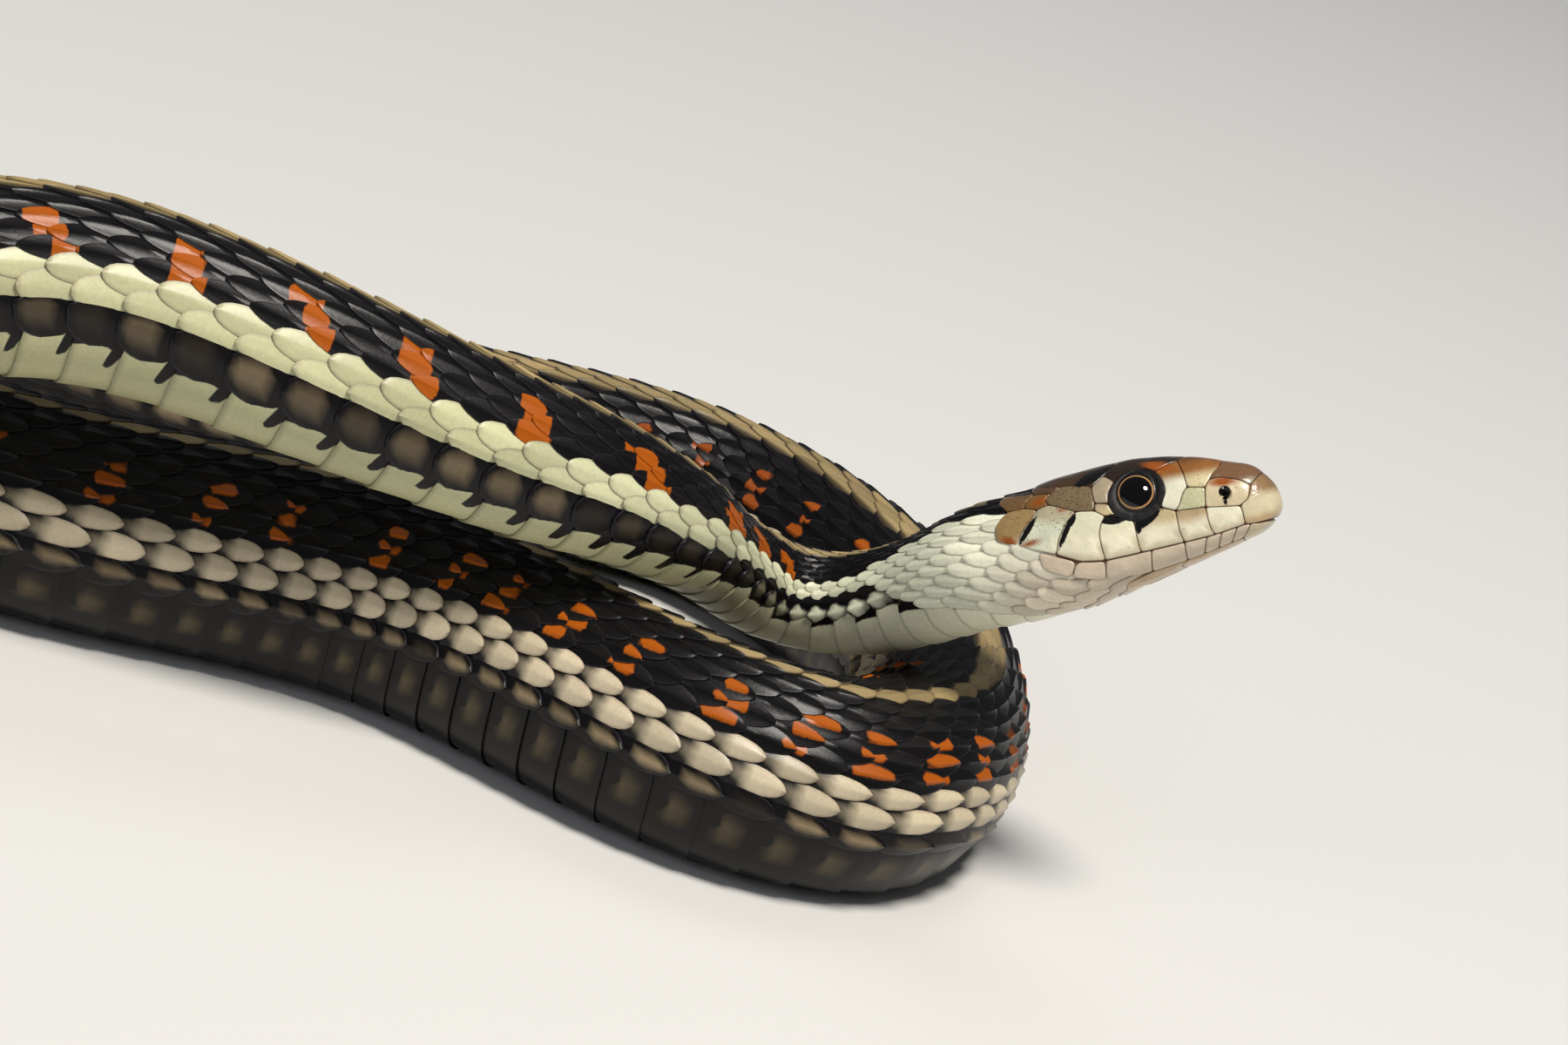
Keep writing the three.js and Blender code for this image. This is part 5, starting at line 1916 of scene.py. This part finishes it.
@dataclass(frozen=True)
class SoftSkin(Finish):
    """Soft skin between the scales: stretched, dull, and dark on the back."""

    name: str = "soft_skin"
    roughness: float = 0.55
    ior: float = 1.4

    def build(self) -> Material:
        """Makes the material."""
        return self.material((
            PAINT_NODES[0],
            ("skin", "ShaderNodeBsdfPrincipled", {"[Roughness]": self.roughness, "[IOR]": self.ior},
             {"Base Color": ("ground", "Color")}),
        ))


@dataclass(frozen=True)
class EyeSpectacle(Finish):
    """Clear scale over the eye: grown smooth, wet-looking, over a black pupil with a gold ring."""

    name: str = "eye_spectacle"
    roughness: float = 0.03
    rim_roughness: float = 0.6
    ior: float = 1.45
    gold: str = "#b88a56"
    black: str = "#050507"
    eye: Eye | None = None

    def build(self) -> Material:
        """Makes the material."""
        pupil, ring, dome = self.eye.pupil, self.eye.ring, self.eye.dome
        return self.material((
            *PAINT_NODES[2:4],
            ("inner", "ShaderNodeMapRange",
             {"interpolation_type": "SMOOTHSTEP", "[From Min]": pupil - 0.05, "[From Max]": pupil + 0.05},
             {"Value": ("mark", "X")}),
            ("outer", "ShaderNodeMapRange",
             {"interpolation_type": "SMOOTHSTEP", "[From Min]": ring + 0.06, "[From Max]": ring - 0.04},
             {"Value": ("mark", "X")}),
            ("ring", "ShaderNodeMath", {"operation": "MULTIPLY"}, {0: ("inner", 0), 1: ("outer", 0)}),
            ("iris", "ShaderNodeMix",
             {"data_type": "RGBA", 6: (*linear(self.black), 1), 7: (*linear(self.gold), 1)},
             {0: ("ring", 0)}),
            ("dulled", "ShaderNodeMapRange",
             {"[From Min]": ring + 0.05, "[From Max]": dome + 0.1, "[To Min]": self.roughness,
              "[To Max]": self.rim_roughness}, {"Value": ("mark", "X")}),
            ("clear", "ShaderNodeBsdfPrincipled", {"[IOR]": self.ior},
             {"Base Color": ("iris", 2), "Roughness": ("dulled", 0)}),
        ))


@dataclass
class Studio:
    """Plain pale floor, soft lights, and the camera at the photograph's viewing angle."""

    camera_place: tuple[float, float, float] = (-12.2, -333.3, 149.0)
    roll: float = 20.0
    pitch: float = 20.0
    lens: float = 100.0
    sensor: float = 36.0
    floor_size: float = 4.0
    floor_colour: str = "#d2d1ce"
    floor_roughness: float = 0.8
    aim: tuple[float, float, float] = (-0.02, 0.0, 0.02)
    room: str = "#e6e8ec"
    room_strength: float = 0.16

    def axes(self) -> Matrix:
        """Gives the camera's place and directions.

        Returns:
            The camera's matrix, in metres.
        """
        roll = np.radians(self.roll)
        pitch = np.radians(self.pitch)
        side = np.array([np.sin(roll), -np.cos(roll), 0.0])
        row_x = np.array([np.cos(roll), np.sin(roll), 0.0])
        row_z = np.cos(pitch) * side + np.sin(pitch) * np.array([0, 0, -1.0])
        row_y = np.cos(pitch) * np.array([0, 0, 1.0]) + np.sin(pitch) * side
        basis = np.array([row_x, row_y, row_z])
        place = np.array(self.camera_place)[:, None] * METRES
        return Matrix([*np.hstack([basis * (1, -1, -1), place]).tolist(), (0, 0, 0, 1)])

    def light(
        self, name: str, place: tuple, size: float, power: float, colour: str, glossy: bool = True,
    ) -> None:
        """Adds a soft round light.

        Args:
            name: Its name.
            place: Where it hangs, in metres.
            size: Width of the disk in metres.
            power: Its power in watts.
            colour: Its colour.
            glossy: False if shiny surfaces don't show it.
        """
        lamp = bpy.data.lights.new(name, "AREA")
        lamp.shape = "DISK"
        lamp.size = size
        lamp.energy = power
        lamp.color = linear(colour)
        holder = bpy.data.objects.new(name, lamp)
        holder.location = place
        ray = Vector(self.aim) - Vector(place)
        holder.rotation_euler = ray.to_track_quat("-Z", "Y").to_euler()
        holder.visible_glossy = glossy
        bpy.context.scene.collection.objects.link(holder)

    def build(self) -> None:
        """Sets up the floor, the lights and the camera."""
        scene = bpy.context.scene
        half = self.floor_size / 2
        mesh = bpy.data.meshes.new("floor")
        corners = [(x * half, y * half, 0) for x, y in ((-1, -1), (1, -1), (1, 1), (-1, 1))]
        mesh.from_pydata(corners, [], [(0, 1, 2, 3)])
        floor = bpy.data.objects.new("floor", mesh)
        scene.collection.objects.link(floor)
        # Board rolled with matt paint: a pale, even ground that mirrors nothing.
        material = bpy.data.materials.new("matt_painted_board")
        material.use_nodes = True
        shader = material.node_tree.nodes["Principled BSDF"]
        shader.inputs["Base Color"].default_value = (*linear(self.floor_colour), 1)
        shader.inputs["Roughness"].default_value = self.floor_roughness
        mesh.materials.append(material)
        self.light("key", (0.14, -0.22, 0.84), 0.22, 8.8, "#fffaf2")
        self.light("fill", (-0.60, -0.70, 0.45), 0.60, 2.0, "#eef3ff", False)
        self.light("back", (0.05, 0.45, 0.80), 0.40, 1.2, "#e6efff", False)
        world = bpy.data.worlds.new("soft_room")
        world.use_nodes = True
        world.node_tree.nodes["Background"].inputs[0].default_value = (*linear(self.room), 1)
        world.node_tree.nodes["Background"].inputs[1].default_value = self.room_strength
        scene.world = world
        data = bpy.data.cameras.new("camera")
        data.lens = self.lens
        data.sensor_width = self.sensor
        data.clip_start = 0.01
        data.clip_end = 20
        camera = bpy.data.objects.new("camera", data)
        scene.collection.objects.link(camera)
        camera.matrix_world = self.axes()
        scene.camera = camera
        scene.view_settings.view_transform = "Standard"


def main() -> None:
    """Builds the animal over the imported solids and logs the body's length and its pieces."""
    logging.basicConfig(level=logging.INFO, format="%(name)s: %(message)s")
    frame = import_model()
    form = SnakeForm()
    LOG.info("body and tail: %.1f mm behind the nape", form.body.length)
    paint = Markings(form)
    eye = Eye(form)
    horn = KeeledScaleHorn().build()
    plate_horn = SmoothPlateHorn().build()
    glassy = EyeSpectacle(eye=eye).build()

    def keep(s: Array, share: Array) -> Array:
        """Tells which scales lie behind the head's plates."""
        end, before = rows_of(BODY_SCALES_END)
        return s > -np.interp(np.abs(form.degrees_at(share, s)), end, before)

    skin = Skin(form).build(SoftSkin().build(), paint)
    flesh = sorted(name for name in frame["nodes"] if not name.startswith("eye"))
    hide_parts(*flesh)
    dressed = {skin: "body_scales"}
    for piece in Scales(form).build(horn, paint, keep):
        dressed[piece] = "tail_scales" if piece.name.endswith("tail") else "body_scales"
    dressed[Scutes(form).build(horn, paint)] = "body_scales"
    plates = HeadPlates(form)
    dressed[plates.build(plate_horn, paint)] = "head_plates"
    for side in Side:
        name = f"eye_{side.name.lower()}"
        piece = eye.build(f"{name}_detail", side, plates, glassy)
        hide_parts(name)
        dressed[piece] = "eye"
    for piece, slot in dressed.items():
        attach(piece, "root")
        LOG.info("%s: slot %s", piece.name, slot)
    Studio().build()


if __name__ == "__main__":
    main()
